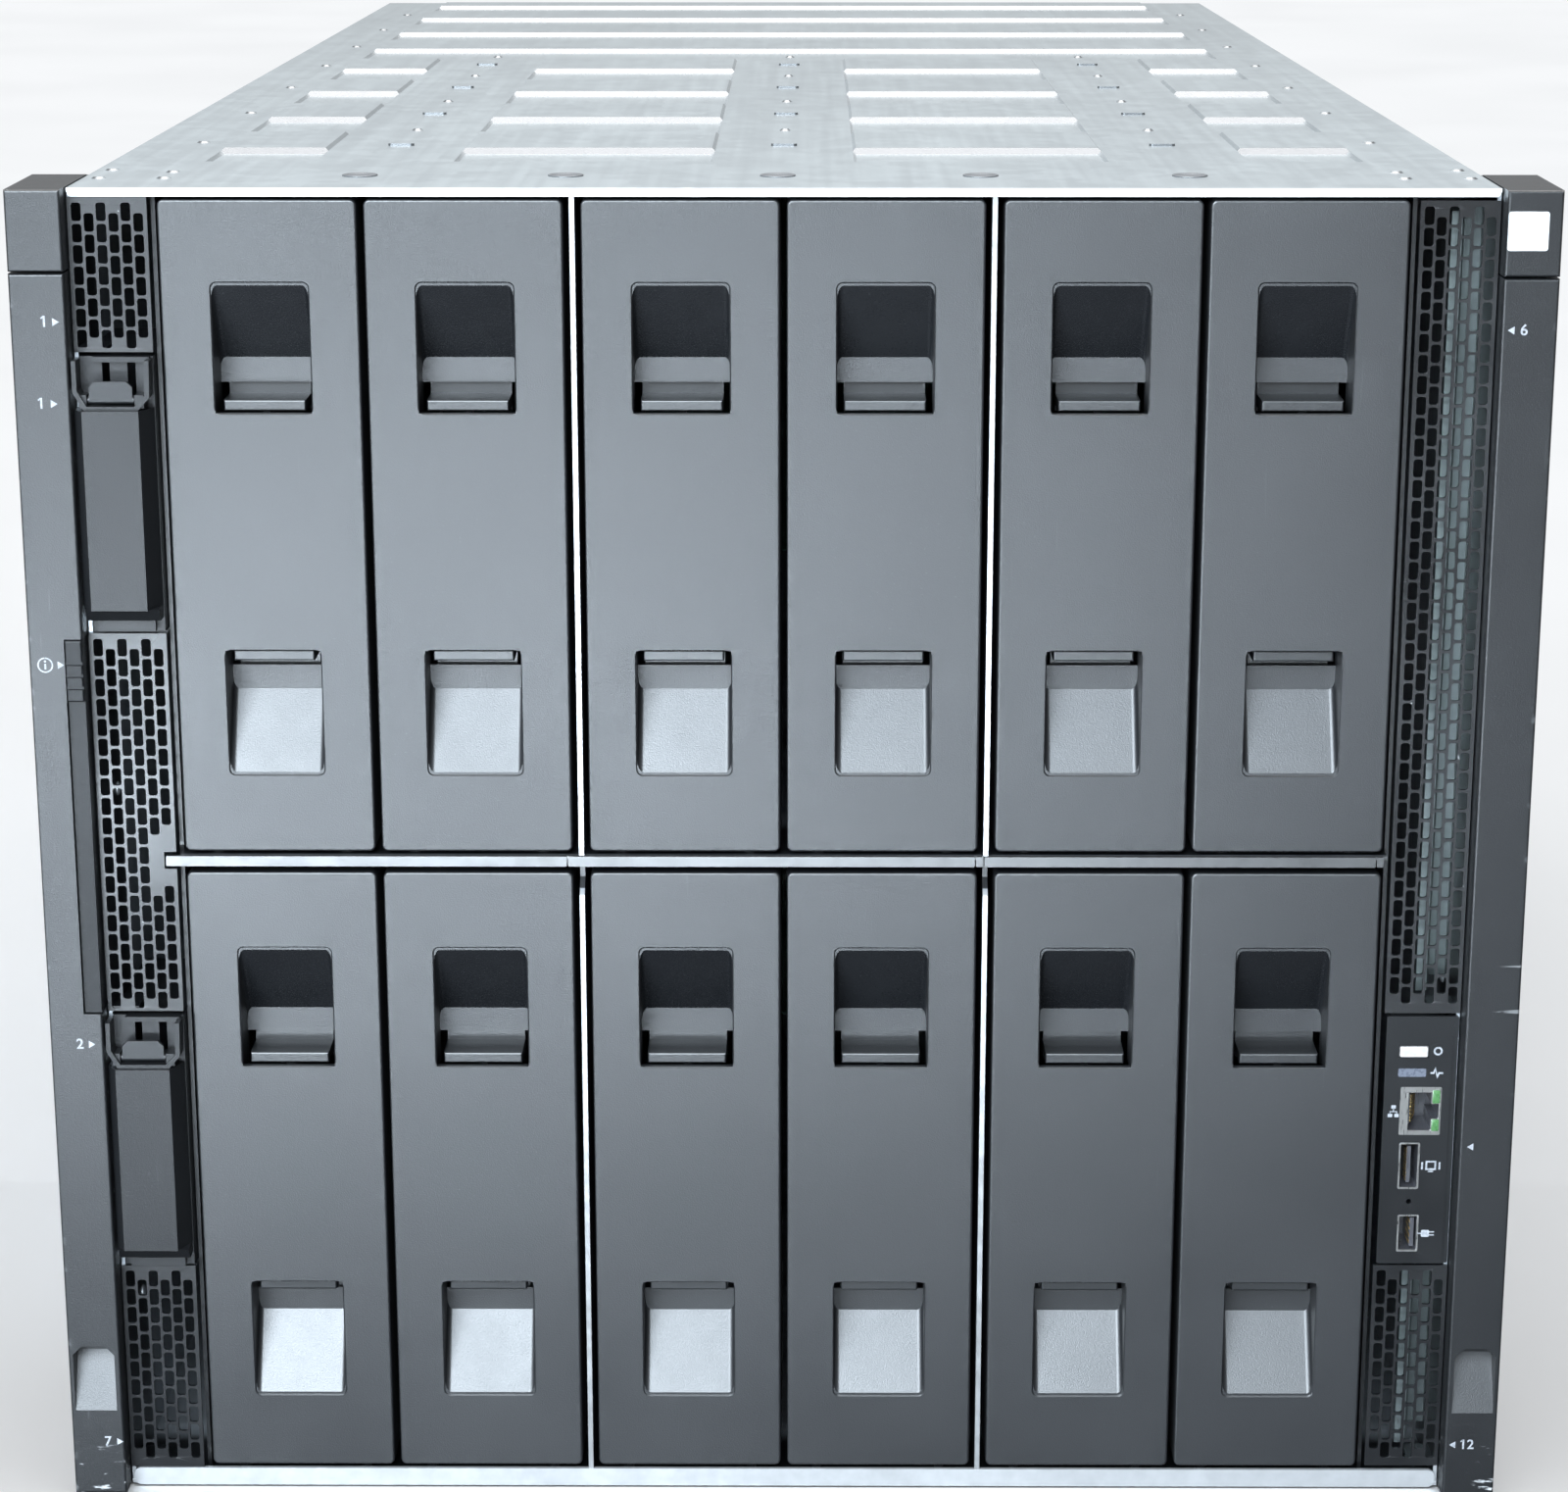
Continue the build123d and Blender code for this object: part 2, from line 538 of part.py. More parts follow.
def make_ports():
    """Network jack, display socket and data socket, each a hollow shell with a tongue."""
    jack = front_pad(211.7, 136.95, 13.7, 17.0, 0.5, 0.2, 16.0)
    jack -= front_pad(211.5, 136.75, 7.6, 13.4, 0.4, -1, 14.0)
    jack -= front_pad(216.3, 136.75, 3.0, 5.2, 0.3, -1, 14.0)
    jack += block(207.6, 208.7, 3.0, 15.0, 131.6, 141.9)
    display = front_pad(208.75, 117.45, 7.0, 16.6, 0.7, 0.1, 16.0)
    display -= front_pad(208.75, 117.45, 5.8, 15.4, 0.5, -1, 14.0)
    display += block(208.2, 209.5, 1.6, 15.0, 111.0, 123.9)
    data = front_pad(209.4, 93.3, 7.1, 13.3, 0.5, 0.1, 16.0)
    data -= front_pad(209.4, 93.3, 5.9, 12.1, 0.3, -1, 14.0)
    data += block(210.2, 211.6, 1.2, 15.0, 88.1, 98.5)
    return Compound(children=[jack, display, data])


def make_button():
    cap = front_pad(208.75, 157.85, 9.3, 3.7, 0.5, -0.5, 6.0)
    cap = fillet(cap.edges().filter_by_position(Axis.Y, -0.51, -0.49), 0.4)
    stop = front_pad(208.75, 157.85, 11.6, 6.2, 0.6, 1.4 + RUN_GAP, 3.4)
    return cap + stop + rod_y(208.75, 157.85, 1.4, 5, 14.6)


def make_light():
    lens = front_pad(208.4, 150.55, 9.2, 2.9, 0.5, -0.2, 4.0)
    return lens + block(205.0, 211.8, 3.5, 16.0, 149.6, 151.5)


# Inside and rear

def make_midplane():
    board = block(-206.0, 206.0, BAY_DEPTH, BAY_DEPTH + 3.2, 4.0, 438.0)
    sockets = []
    for c in COLUMNS:
        for z in ROW_Z:
            sockets.append(block(c - 8, c + 8, BAY_DEPTH - 14, BAY_DEPTH + 0.5, z - 52, z + 10))
            sockets.append(block(c - 5, c + 5, BAY_DEPTH - 20, BAY_DEPTH + 0.5, z - 84, z - 62))
    for z in (70.0, 220.0, 370.0):
        sockets.append(block(-180, 180, BAY_DEPTH + 3, BAY_DEPTH + 16, z - 6, z + 6))
    feet = [block(x - 6, x + 6, BAY_DEPTH + 3, BAY_DEPTH + 30, SHEET, 12.0) for x in (-190, 0, 190)]
    return board + sockets + feet


def fan_centres():
    return [(i * FAN_PITCH, z) for z in FAN_ROWS for i in range(-2, 3)]


def supply_centres():
    return [((i - 2.5) * SUPPLY_PITCH, 29.0) for i in range(6)]


def link_centres():
    return [(0.0, 151.25 + i * LINK_PITCH) for i in range(6)]


def cap_centres():
    return [((i - 1.5) * 107.0, 414.0) for i in range(4)]


def make_rear_panel():
    plate = block(-HALF_W + SHEET, HALF_W - SHEET, CASE_D - 3.0, CASE_D - 1.5, SHEET, COVER_Z0 - SHEET)
    cuts = [block(x - FAN_W / 2, x + FAN_W / 2, 800, 920, z - FAN_H / 2, z + FAN_H / 2)
            for x, z in fan_centres()]
    cuts += [block(x - SUPPLY_W / 2, x + SUPPLY_W / 2, 800, 920, z - SUPPLY_H / 2, z + SUPPLY_H / 2)
             for x, z in supply_centres()]
    cuts += [block(x - LINK_W / 2 + 4, x + LINK_W / 2 - 4, 800, 920, z - LINK_H / 2, z + LINK_H / 2)
             for x, z in link_centres()]
    cuts += [block(x - 51, x + 51, 800, 920, z - 19, z + 19) for x, z in cap_centres()]
    panel = plate - cuts
    panel += block(-WALL_IN, WALL_IN, 760.0, CASE_D - 2, 136.0, 137.2)
    panel += block(-WALL_IN, WALL_IN, 760.0, CASE_D - 2, 303.6, 304.8)
    return panel


def fan_module(x, z):
    """Fan drawer: square face with a round guard, hub, blades and a pull handle."""
    back = CASE_D + 1.0
    half_w = FAN_W / 2 - 0.4
    half_h = FAN_H / 2 - 0.4
    body = block(x - half_w, x + half_w, 820.0, back, z - half_h, z + half_h)
    body -= block(x - 39, x + 39, 810.0, back - 3.0, z - 38, z + 38)
    body -= rod_y(x, z, 35.0, 890.0, 920.0)
    for r in (31.0, 24.0, 17.0):
        body += rod_y(x, z, r, back - 2.4, back - 0.6) - rod_y(x, z, r - 1.5, 880.0, 920.0)
    body += rod_y(x, z, 11.0, 872.0, back - 0.4)
    for a in range(4):
        bar = Pos(0, back - 1.5, 0) * Box(70.6, 1.8, 2.2)
        body += Pos(x, 0, z) * Rot(0, 45 * a + 22.5, 0) * bar
    for a in range(7):
        blade = Pos(0, 882.0, 20.0) * Rot(0, 0, 32) * Box(12.0, 1.6, 22.0)
        body += Pos(x, 0, z) * Rot(0, a * 360 / 7, 0) * blade
    body += block(x + 33.5, x + 37.5, back - 0.5, back + 5.0, z - 37.0, z - 15.0)
    return body


def power_supply(x, z):
    """Power supply: inlet, vent and a pull handle."""
    back = CASE_D + 0.6
    half_w = SUPPLY_W / 2 - 0.4
    half_h = SUPPLY_H / 2 - 0.4
    body = block(x - half_w, x + half_w, 760.0, back, z - half_h, z + half_h)
    body -= block(x - half_w + 1.2, x + half_w - 1.2, 750.0, back - 2.0, z - half_h + 1.2, z + half_h - 1.2)
    inlet = front_pad(x + 17.0, z, 27.0, 20.0, 2.5, back - 16.0, back + 0.8)
    inlet -= front_pad(x + 17.0, z, 23.0, 16.0, 2.0, back - 14.0, back + 2.0)
    for dx, dz in ((-6.0, 0.0), (6.0, 0.0), (0.0, 3.5)):
        inlet += block(x + 17 + dx - 0.9, x + 17 + dx + 0.9, back - 15, back - 4, z + dz - 2.4, z + dz + 2.4)
    body -= front_pad(x + 17.0, z, 26.0, 19.0, 2.0, back - 8.0, back + 2.0)
    for i in range(7):
        body -= front_pad(x - 24.0 + i * 4.4, z, 2.4, 26.0, 1.1, back - 4.0, back + 2.0)
    handle = block(x - 30.0, x - 3.0, back + 9.0, back + 11.6, z + 14.4, z + 17.4)
    for hx in (-30.0, -5.4):
        handle += block(x + hx, x + hx + 2.4, back - 0.5, back + 11.6, z + 14.4, z + 17.4)
    return body + inlet + handle


def link_blank(x, z):
    """Interconnect bay cover with a row of vents and two finger catches."""
    back = CASE_D + 0.4
    half_w = LINK_W / 2 - 4.4
    half_h = LINK_H / 2 - 0.4
    body = block(x - half_w, x + half_w, 840.0, back, z - half_h, z + half_h)
    body -= block(x - half_w + 1.2, x + half_w - 1.2, 830.0, back - 1.6, z - half_h + 1.2, z + half_h - 1.2)
    for i in range(24):
        body -= front_pad(x - 155.25 + i * 13.5, z, 9.0, 13.0, 2.0, back - 4.0, back + 2.0)
    for s in (-1, 1):
        catch = block(x + s * 190 - 9, x + s * 190 + 9, back - 0.5, back + 4.4, z - 4.0, z + 4.0)
        catch = fillet(catch.edges().filter_by_position(Axis.Y, back + 4.39, back + 4.41), 1.2)
        body += catch
    return body


def small_cover(x, z):
    """Cover of a link bay, with a slotted vent and a thumb screw."""
    back = CASE_D + 0.4
    body = block(x - 50.6, x + 50.6, 850.0, back, z - 18.6, z + 18.6)
    body -= block(x - 49.4, x + 49.4, 840.0, back - 1.6, z - 17.4, z + 17.4)
    for i in range(9):
        body -= front_pad(x - 32.0 + i * 6.0, z, 3.0, 22.0, 1.4, back - 4.0, back + 2.0)
    body += rod_y(x + 38.0, z, 5.0, back - 0.5, back + 5.0)
    return body


def make_fans():
    fan = fan_module(0.0, 0.0)
    return Compound(children=[Pos(x, 0, z) * fan for x, z in fan_centres()])


def make_supplies():
    supply = power_supply(0.0, 0.0)
    return Compound(children=[Pos(x, 0, z) * supply for x, z in supply_centres()])


def make_links():
    wide = link_blank(0.0, 0.0)
    small = small_cover(0.0, 0.0)
    covers = [Pos(x, 0, z) * wide for x, z in link_centres()]
    covers += [Pos(x, 0, z) * small for x, z in cap_centres()]
    return Compound(children=covers)


def save(shape, node):
    export_step(Pos(0, -MIDDLE_Y, 0) * shape, "parts/" + node + ".step")


# Twelve bay blanks with their release tabs
blank = make_blank()
tab = make_tab()
number = 0
for row_z in ROW_Z:
    for column_x in COLUMNS:
        number += 1
        place = Pos(column_x, BLANK_FACE_Y, row_z)
        save(place * blank, "blank_%02d" % number)
        save(place * tab, "upper_tab_%02d" % number)
        save(place * flipped(tab), "lower_tab_%02d" % number)

# Appliance bay blanks and latches
for i, bay_z in enumerate(APPLIANCE_Z):
    save(make_appliance_blank(bay_z), "appliance_blank_%d" % (i + 1))
    save(make_appliance_latch(bay_z), "appliance_latch_%d" % (i + 1))

# Ears and their fittings
save(make_bezel(-1), "left_ear_bezel")
save(make_bezel(1), "right_ear_bezel")
save(make_ear_caps(), "ear_caps")
save(make_flanges(), "rack_flanges")
save(make_info_tab(), "info_pull_tab")

# Side strips and front panel
save(make_left_grilles(), "left_grilles")
save(make_right_grilles(), "right_grilles")
save(make_panel_plate(), "front_panel_plate")
save(make_ports(), "front_panel_ports")
save(make_button(), "uid_button")
save(make_light(), "health_light")

# Chassis, inside and rear
save(make_shell(), "chassis_shell")
save(make_cover(), "top_cover")
save(make_dividers(), "bay_dividers")
save(make_shelves(), "bay_shelves")
save(make_midplane(), "midplane_board")
save(make_rear_panel(), "rear_panel")
save(make_fans(), "fan_modules")
save(make_supplies(), "power_supplies")
save(make_links(), "interconnect_blanks")
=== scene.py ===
# %% [markdown]
# # A blade server chassis, dressed for the studio
# The real object is a deep steel box, ten rack units high, closed at the front by
# twelve moulded blanks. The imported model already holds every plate, blank and latch
# at its true size. This lesson loads it as a fixed frame, gives each surface its
# finish and adds the small things that a solid model leaves out.

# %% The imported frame
import math
import bmesh
import bpy
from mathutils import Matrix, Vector


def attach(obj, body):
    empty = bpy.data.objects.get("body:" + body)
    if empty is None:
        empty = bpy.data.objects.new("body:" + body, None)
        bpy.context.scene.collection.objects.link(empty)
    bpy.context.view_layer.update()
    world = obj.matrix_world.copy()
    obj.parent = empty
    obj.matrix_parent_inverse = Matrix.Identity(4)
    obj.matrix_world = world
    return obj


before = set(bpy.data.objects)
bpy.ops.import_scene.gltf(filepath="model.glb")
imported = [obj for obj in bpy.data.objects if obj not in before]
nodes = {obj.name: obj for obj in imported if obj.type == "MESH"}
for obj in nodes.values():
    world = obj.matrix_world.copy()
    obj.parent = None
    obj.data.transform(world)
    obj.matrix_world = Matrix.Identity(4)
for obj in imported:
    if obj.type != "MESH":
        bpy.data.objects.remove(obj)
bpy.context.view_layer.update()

# %% [markdown]
# ## The camera
# The photograph looks at the front from a little above the cover, with a long lens.
# A camera can be guessed by eye, or solved from known corners of the object. This one
# was solved, so its place, tilt and lens are plain numbers. The tiny shift allows for a
# picture whose middle is a few pixels off the lens axis.

# %% Camera
lens_mm = 83.30
tilt_down = 0.2645
camera_data = bpy.data.cameras.new("front_camera")
camera_data.sensor_width = 36.0
camera_data.lens = lens_mm
camera_data.shift_x = -0.0042
camera_data.shift_y = 0.0011
camera_data.clip_start = 0.05
camera = bpy.data.objects.new("front_camera", camera_data)
camera.location = (0.0076, -1.5901, 0.5691)
camera.rotation_euler = (math.pi / 2 - tilt_down, 0.0, 0.0047)
bpy.context.scene.collection.objects.link(camera)
bpy.context.scene.camera = camera
print("camera:", lens_mm, "mm lens,", round(math.degrees(tilt_down), 1), "degrees down")

# %% [markdown]
# ## Sockets that do sums
# A finish is a small network of nodes. Linking nodes one by one hides the idea, so one
# class wraps a socket and lets Python's operators add the Math nodes. Everything else,
# such as a noise or a bump, comes from its one method that makes any node.

# %% The socket wrapper
class Wire:
    """An output socket in a material, or the material's bare tree when it has none."""

    def __init__(self, tree, socket=None):
        self.tree = tree
        self.socket = socket

    def node(self, kind, settings=None, sockets=None, out=0):
        made = self.tree.nodes.new(kind)
        for name, value in (settings or {}).items():
            setattr(made, name, value)
        for name, value in (sockets or {}).items():
            if isinstance(value, Wire):
                self.tree.links.new(value.socket, made.inputs[name])
            else:
                made.inputs[name].default_value = value
        return Wire(self.tree, made.outputs[out]) if len(made.outputs) else made

    def sum(self, operation, first, second=0.0):
        return self.node("ShaderNodeMath", {"operation": operation}, {0: first, 1: second})

    def __add__(self, other):
        return self.sum("ADD", self, other)

    __radd__ = __add__

    def __sub__(self, other):
        return self.sum("SUBTRACT", self, other)

    def __rsub__(self, other):
        return self.sum("SUBTRACT", other, self)

    def __mul__(self, other):
        return self.sum("MULTIPLY", self, other)

    __rmul__ = __mul__

    def __truediv__(self, other):
        return self.sum("DIVIDE", self, other)

    def __rtruediv__(self, other):
        return self.sum("DIVIDE", other, self)

    def __abs__(self):
        return self.sum("ABSOLUTE", self)

    def most(self, other):
        return self.sum("MAXIMUM", self, other)


print("socket wrapper ready")

# %% [markdown]
# ## The shared steps of every finish
# Each finish here reads the object's own coordinates, in metres, so a grain of 0.6 mm is
# written as 0.6 mm and stays on its piece when the piece moves. Noise gives grain and
# clouds, a ranged ramp turns noise into marks, and a bump turns a height into relief.

# %% Helpers for finishes
def new_finish(name):
    material = bpy.data.materials.new(name)
    material.use_nodes = True
    material.node_tree.nodes.clear()
    return material, Wire(material.node_tree)


def own_place(bench):
    return bench.node("ShaderNodeTexCoord", out="Object")


def stretched(place, scale, turn=(0.0, 0.0, 0.0)):
    settings = {"vector_type": "POINT"}
    sockets = {"Vector": place, "Rotation": turn, "Scale": scale}
    return place.node("ShaderNodeMapping", settings, sockets)


def clouds(place, size_mm, detail=2.0, rough=0.5):
    sockets = {"Vector": place, "Scale": 1000.0 / size_mm, "Detail": detail, "Roughness": rough}
    return place.node("ShaderNodeTexNoise", {"noise_dimensions": "3D"}, sockets)


def ranged(value, low, high, to_low=0.0, to_high=1.0):
    settings = {"clamp": True, "interpolation_type": "SMOOTHSTEP"}
    sockets = {"Value": value, "From Min": low, "From Max": high, "To Min": to_low, "To Max": to_high}
    return value.node("ShaderNodeMapRange", settings, sockets)


def tinted(share, first, second):
    first = first if isinstance(first, Wire) else (*first, 1.0)
    second = second if isinstance(second, Wire) else (*second, 1.0)
    settings = {"data_type": "RGBA", "blend_type": "MIX", "clamp_factor": True}
    return share.node("ShaderNodeMix", settings, {0: share, 6: first, 7: second}, out=2)


def relief(height, depth_mm, strength=1.0):
    sockets = {"Height": height, "Distance": depth_mm / 1000.0, "Strength": strength}
    return height.node("ShaderNodeBump", {}, sockets)


def axes_of(place):
    split = place.node("ShaderNodeSeparateXYZ", {}, {"Vector": place}).socket.node
    return [Wire(place.tree, split.outputs[i]) for i in range(3)]


def shaded(bench, **sockets):
    sockets = {name.replace("_", " "): value for name, value in sockets.items()}
    surface = bench.node("ShaderNodeBsdfPrincipled", {}, sockets)
    bench.node("ShaderNodeOutputMaterial", {}, {"Surface": surface})


print("finish helpers ready")

# %% [markdown]
# ## The floor
# A studio floor is a wide sheet of pale card. A plane would do, but its corners show in low
# views, so this is a large disc with a faint mottle. It lies a hair below the chassis, so the
# two never fight for the same height.

# %% Floor
floor_radius = 24.0
floor_z = -0.0006
floor_mesh = bmesh.new()
bmesh.ops.create_circle(floor_mesh, cap_ends=True, radius=floor_radius, segments=96)
floor_data = bpy.data.meshes.new("studio_floor")
floor_mesh.to_mesh(floor_data)
floor_mesh.free()
floor = bpy.data.objects.new("studio_floor", floor_data)
floor.location = (0.0, 0.0, floor_z)
floor.visible_diffuse = False
bpy.context.scene.collection.objects.link(floor)

floor_finish, bench = new_finish("pale_floor")
mottle = clouds(own_place(bench), 420.0, 4.0)
shaded(
    bench,
    Base_Color=tinted(mottle, (0.87, 0.875, 0.88), (0.92, 0.925, 0.93)),
    Roughness=ranged(mottle, 0.3, 0.7, 0.55, 0.7),
)
floor_data.materials.append(floor_finish)
print("floor: a disc of", floor_radius, "m radius")

# %% [markdown]
# ## Sky and lamps
# The photograph shows the chassis against plain white, lit softly from the front left
# and above: the left blanks are pale, the right ones dark, and the upward faces bright.
# Dark plastic shows its light mostly as sheen, so the lamps stand where the faces mirror
# them: two low wide ones for the upright faces and a high one for the sloping finger ramps.
# A lamp overhead lights the cover, and a faint sky fills the rest. The floor has a soft sun of
# its own, so that it can be white while the chassis keeps its contrast.

# %% Sky and lamps
def area_lamp(name, place, target, width, height, watts, colour=(1.0, 1.0, 1.0)):
    data = bpy.data.lights.new(name, "AREA")
    data.shape = "RECTANGLE"
    data.size = width
    data.size_y = height
    data.energy = watts
    data.color = colour
    lamp = bpy.data.objects.new(name, data)
    lamp.location = place
    lamp.rotation_euler = (Vector(target) - Vector(place)).to_track_quat("-Z", "Y").to_euler()
    lamp.visible_camera = False
    bpy.context.scene.collection.objects.link(lamp)
    return lamp


sky = bpy.data.worlds.new("studio_sky")
sky.use_nodes = True
sky_sockets = sky.node_tree.nodes["Background"].inputs
sky_sockets["Color"].default_value = (0.95, 0.975, 1.0, 1.0)
sky_sockets["Strength"].default_value = 0.55
bpy.context.scene.world = sky
bpy.context.scene.view_settings.view_transform = "Standard"

cool = (0.79, 0.90, 1.0)
lamps_on_chassis = [
    area_lamp("high_lamp", (-0.62, -2.3, 1.45), (-0.1, -0.45, 0.2), 1.7, 1.2, 330.0, cool),
    area_lamp("low_lamp", (-0.86, -2.2, 0.25), (-0.1, -0.45, 0.25), 1.6, 0.5, 12.0, cool),
    area_lamp("kick_lamp", (-0.38, -1.2, 0.05), (-0.1, -0.45, 0.15), 1.2, 0.08, 20.0, cool),
    area_lamp("over_lamp", (0.0, 0.3, 3.0), (0.0, 0.1, 0.44), 2.2, 2.2, 230.0),
]
no_floor = bpy.data.collections.new("no_floor")
no_floor.objects.link(floor)
for lamp in lamps_on_chassis:
    lamp.light_linking.receiver_collection = no_floor
no_floor.collection_objects[0].light_linking.link_state = "EXCLUDE"

sun_data = bpy.data.lights.new("floor_sun", "SUN")
sun_data.energy = 1.7
sun_data.angle = 1.4
floor_sun = bpy.data.objects.new("floor_sun", sun_data)
bpy.context.scene.collection.objects.link(floor_sun)
only_floor = bpy.data.collections.new("only_floor")
only_floor.objects.link(floor)
floor_sun.light_linking.receiver_collection = only_floor
print("studio:", len(lamps_on_chassis), "lamps on the chassis and a sun on the floor")

# %% [markdown]
# ## The black flag
# Photographers lay black cloth where a glossy object would mirror a bright floor. This one
# lies in front of the chassis, is seen by reflections only, and keeps the finger pockets deep.

# %% Black flag
flag_size = (2.6, 1.8, 1.0)
flag_mesh = bmesh.new()
bmesh.ops.create_grid(flag_mesh, x_segments=6, y_segments=4, size=0.5)
bmesh.ops.scale(flag_mesh, vec=flag_size, verts=flag_mesh.verts)
flag_data = bpy.data.meshes.new("black_flag")
flag_mesh.to_mesh(flag_data)
flag_mesh.free()
flag = bpy.data.objects.new("black_flag", flag_data)
flag.location = (0.0, -1.08, -0.0004)
flag.visible_camera = False
flag.visible_diffuse = False
flag.visible_shadow = False
bpy.context.scene.collection.objects.link(flag)
flag_finish, bench = new_finish("black_cloth")
cloth = clouds(own_place(bench), 40.0, 3.0)
shaded(
    bench,
    Base_Color=tinted(cloth, (0.02, 0.02, 0.022), (0.05, 0.05, 0.054)),
    Roughness=ranged(cloth, 0.3, 0.7, 0.8, 0.95),
)
flag_data.materials.append(flag_finish)
print("black flag:", flag_size[0], "by", flag_size[1], "m")

# %% [markdown]
# ## Moulded grain
# The blanks, ears and latches are dark moulded plastic. Its surface is a fine leather-like
# grain from the mould, dulled by handling. Painting such grain by hand would never end, so
# it is three layers of noise: clouds a hand wide, mottle of some millimetres, and the grain
# itself as relief. Pale dust sits in the grain as tiny specks. A face that looks down, such as
# a pocket's ceiling, can be given a smoother gloss, as where the mould was polished.

# %% Moulded plastic
dust_grey = (0.42, 0.43, 0.44)
scuff_grey = (0.58, 0.59, 0.60)


def moulded(name, shade, pale, rough, grain_mm, depth_mm, wear=None, sheen=0.5, polished=0.0):
    finish, bench = new_finish(name)
    place = own_place(bench)
    handled = clouds(place, 90.0, 4.0, 0.55)
    mottle = clouds(place, 7.0, 3.0)
    grain = clouds(place, grain_mm, 2.0, 0.6)
    dust = ranged(clouds(place, 0.7, 0.0), 0.74, 0.90) * ranged(handled, 0.4, 0.75, 0.0, 0.035)
    colour = tinted(handled * 0.55 + mottle * 0.25 + grain * 0.2, shade, pale)
    colour = tinted(dust, colour, dust_grey)
    gloss = ranged(handled * 0.75 + mottle * 0.25, 0.3, 0.7, rough - 0.03, rough + 0.03)
    gloss = gloss + (grain - 0.5) * 0.16
    if polished:
        normal = bench.node("ShaderNodeNewGeometry", out="True Normal")
        gloss = gloss - ranged(axes_of(normal)[2], -0.2, -0.4) * polished
    if wear is not None:
        marks = wear(place)
        colour = tinted(marks, colour, scuff_grey)
        gloss = gloss + marks * 0.12
    bumps = relief(grain, depth_mm, 0.8)
    shaded(bench, Base_Color=colour, Roughness=gloss, Normal=bumps, Specular_IOR_Level=sheen)
    return finish


def thin_scratches(place, turn, amount):
    lines = clouds(stretched(place, (1.0, 1.0, 0.035), turn), 0.9, 1.0)
    patches = clouds(place, 45.0, 2.0)
    return ranged(lines, 0.70, 0.78) * ranged(patches, 0.56, 0.70) * amount


finishes = {}
finishes["bay_blank"] = moulded(
    "blank_grain", (0.0012, 0.0014, 0.0018), (0.0034, 0.0038, 0.0046), 0.41, 0.42, 0.085,
    lambda place: thin_scratches(place, (0.0, 0.9, 0.2), 0.010), polished=0.13,
)
finishes["release_tab"] = moulded(
    "tab_grain", (0.0012, 0.0014, 0.0017), (0.0036, 0.0040, 0.0046), 0.36, 0.45, 0.05)
finishes["appliance"] = moulded(
    "cover_grain", (0.0015, 0.0016, 0.0019), (0.0040, 0.0043, 0.0048), 0.41, 0.42, 0.08,
    lambda place: thin_scratches(place, (0.0, 0.4, 0.0), 0.012), 0.25,
)
finishes["latch"] = moulded(
    "latch_grain", (0.0018, 0.0020, 0.0024), (0.0046, 0.0050, 0.0056), 0.40, 0.45, 0.05, None, 0.28)
finishes["info_tab"] = moulded(
    "pull_tab_grain", (0.0012, 0.0013, 0.0016), (0.0034, 0.0037, 0.0042), 0.40, 0.45, 0.05, None, 0.16)
print("moulded finishes:", sorted(finishes))

# %% [markdown]
# ## Scuffed ears
# The two ear covers take every knock when the chassis is slid into a rack. Their lower ends
# are scraped pale, and the right edge carries two short scrapes that widen outwards. The
# scrapes are wedges worked out from the ear's own coordinates, broken up by noise.

# %% Ear plastic
def edge_scrape(place, start_x, end_x, height, half_width):
    x, y, z = axes_of(place)
    along = ranged(x, start_x, end_x)
    off_line = abs(z - height) / (along * half_width + 0.00005)
    return ranged(off_line, 1.0, 0.6) * ranged(x, start_x, start_x + 0.001)


def ear_wear(place):
    x, y, z = axes_of(place)
    broken = clouds(stretched(place, (0.25, 1.0, 1.0), (0.0, 0.5, 0.0)), 2.4, 3.0, 0.65)
    foot = ranged(z, 0.030, 0.004) * ranged(broken, 0.60, 0.72) * 0.35
    rim = ranged(abs(x), 0.2395, 0.2412) * ranged(clouds(place, 6.0, 3.0), 0.62, 0.74) * 0.07
    upper = edge_scrape(place, 0.2335, 0.2413, 0.1903, 0.0004) * 0.10
    lower = edge_scrape(place, 0.2315, 0.2413, 0.1747, 0.0008) * 0.10
    scrapes = upper.most(lower) * ranged(broken, 0.36, 0.5)
    return foot.most(rim).most(scrapes).most(thin_scratches(place, (0.0, 1.2, 0.0), 0.03))


finishes["ear"] = moulded(
    "ear_grain", (0.0014, 0.0016, 0.0019), (0.0036, 0.0040, 0.0046), 0.40, 0.42, 0.085, ear_wear, 0.37)
print("ear finish ready")

# %% [markdown]
# ## Galvanised sheet
# The box itself is zinc-coated steel. Zinc freezes in flat crystals, the spangle, each one a
# little lighter or darker than its neighbour, and rolling leaves faint streaks along the
# sheet. Cells from a Voronoi texture give the spangle and stretched noise gives the streaks.
# The metal is only partly mirror-like, so most of its brightness comes from the soft lamps.
# At the very front a narrow band along each sheet's cut edge is painted in a tone of its own,
# set for how bright that edge shows under the lamps: a painted highlight on the shell and cover
# lips, painted darker on the shelf strips. The first few centimetres behind it, inside the
# walls, are darkened as painted shade, so that no gap shines. On the cover the steep faces of
# the pressings that look forwards are darkened too, a painted shade that keeps their bright line narrow.

# %% Galvanised steel
front = -0.4558
zinc_share = 0.82
stain_grey = (0.50, 0.52, 0.54)
flank_shade_grey = (0.09, 0.091, 0.093)
gap_shade_black = (0.0030, 0.0032, 0.0036)
inner_wall = (0.2227, 0.2231)


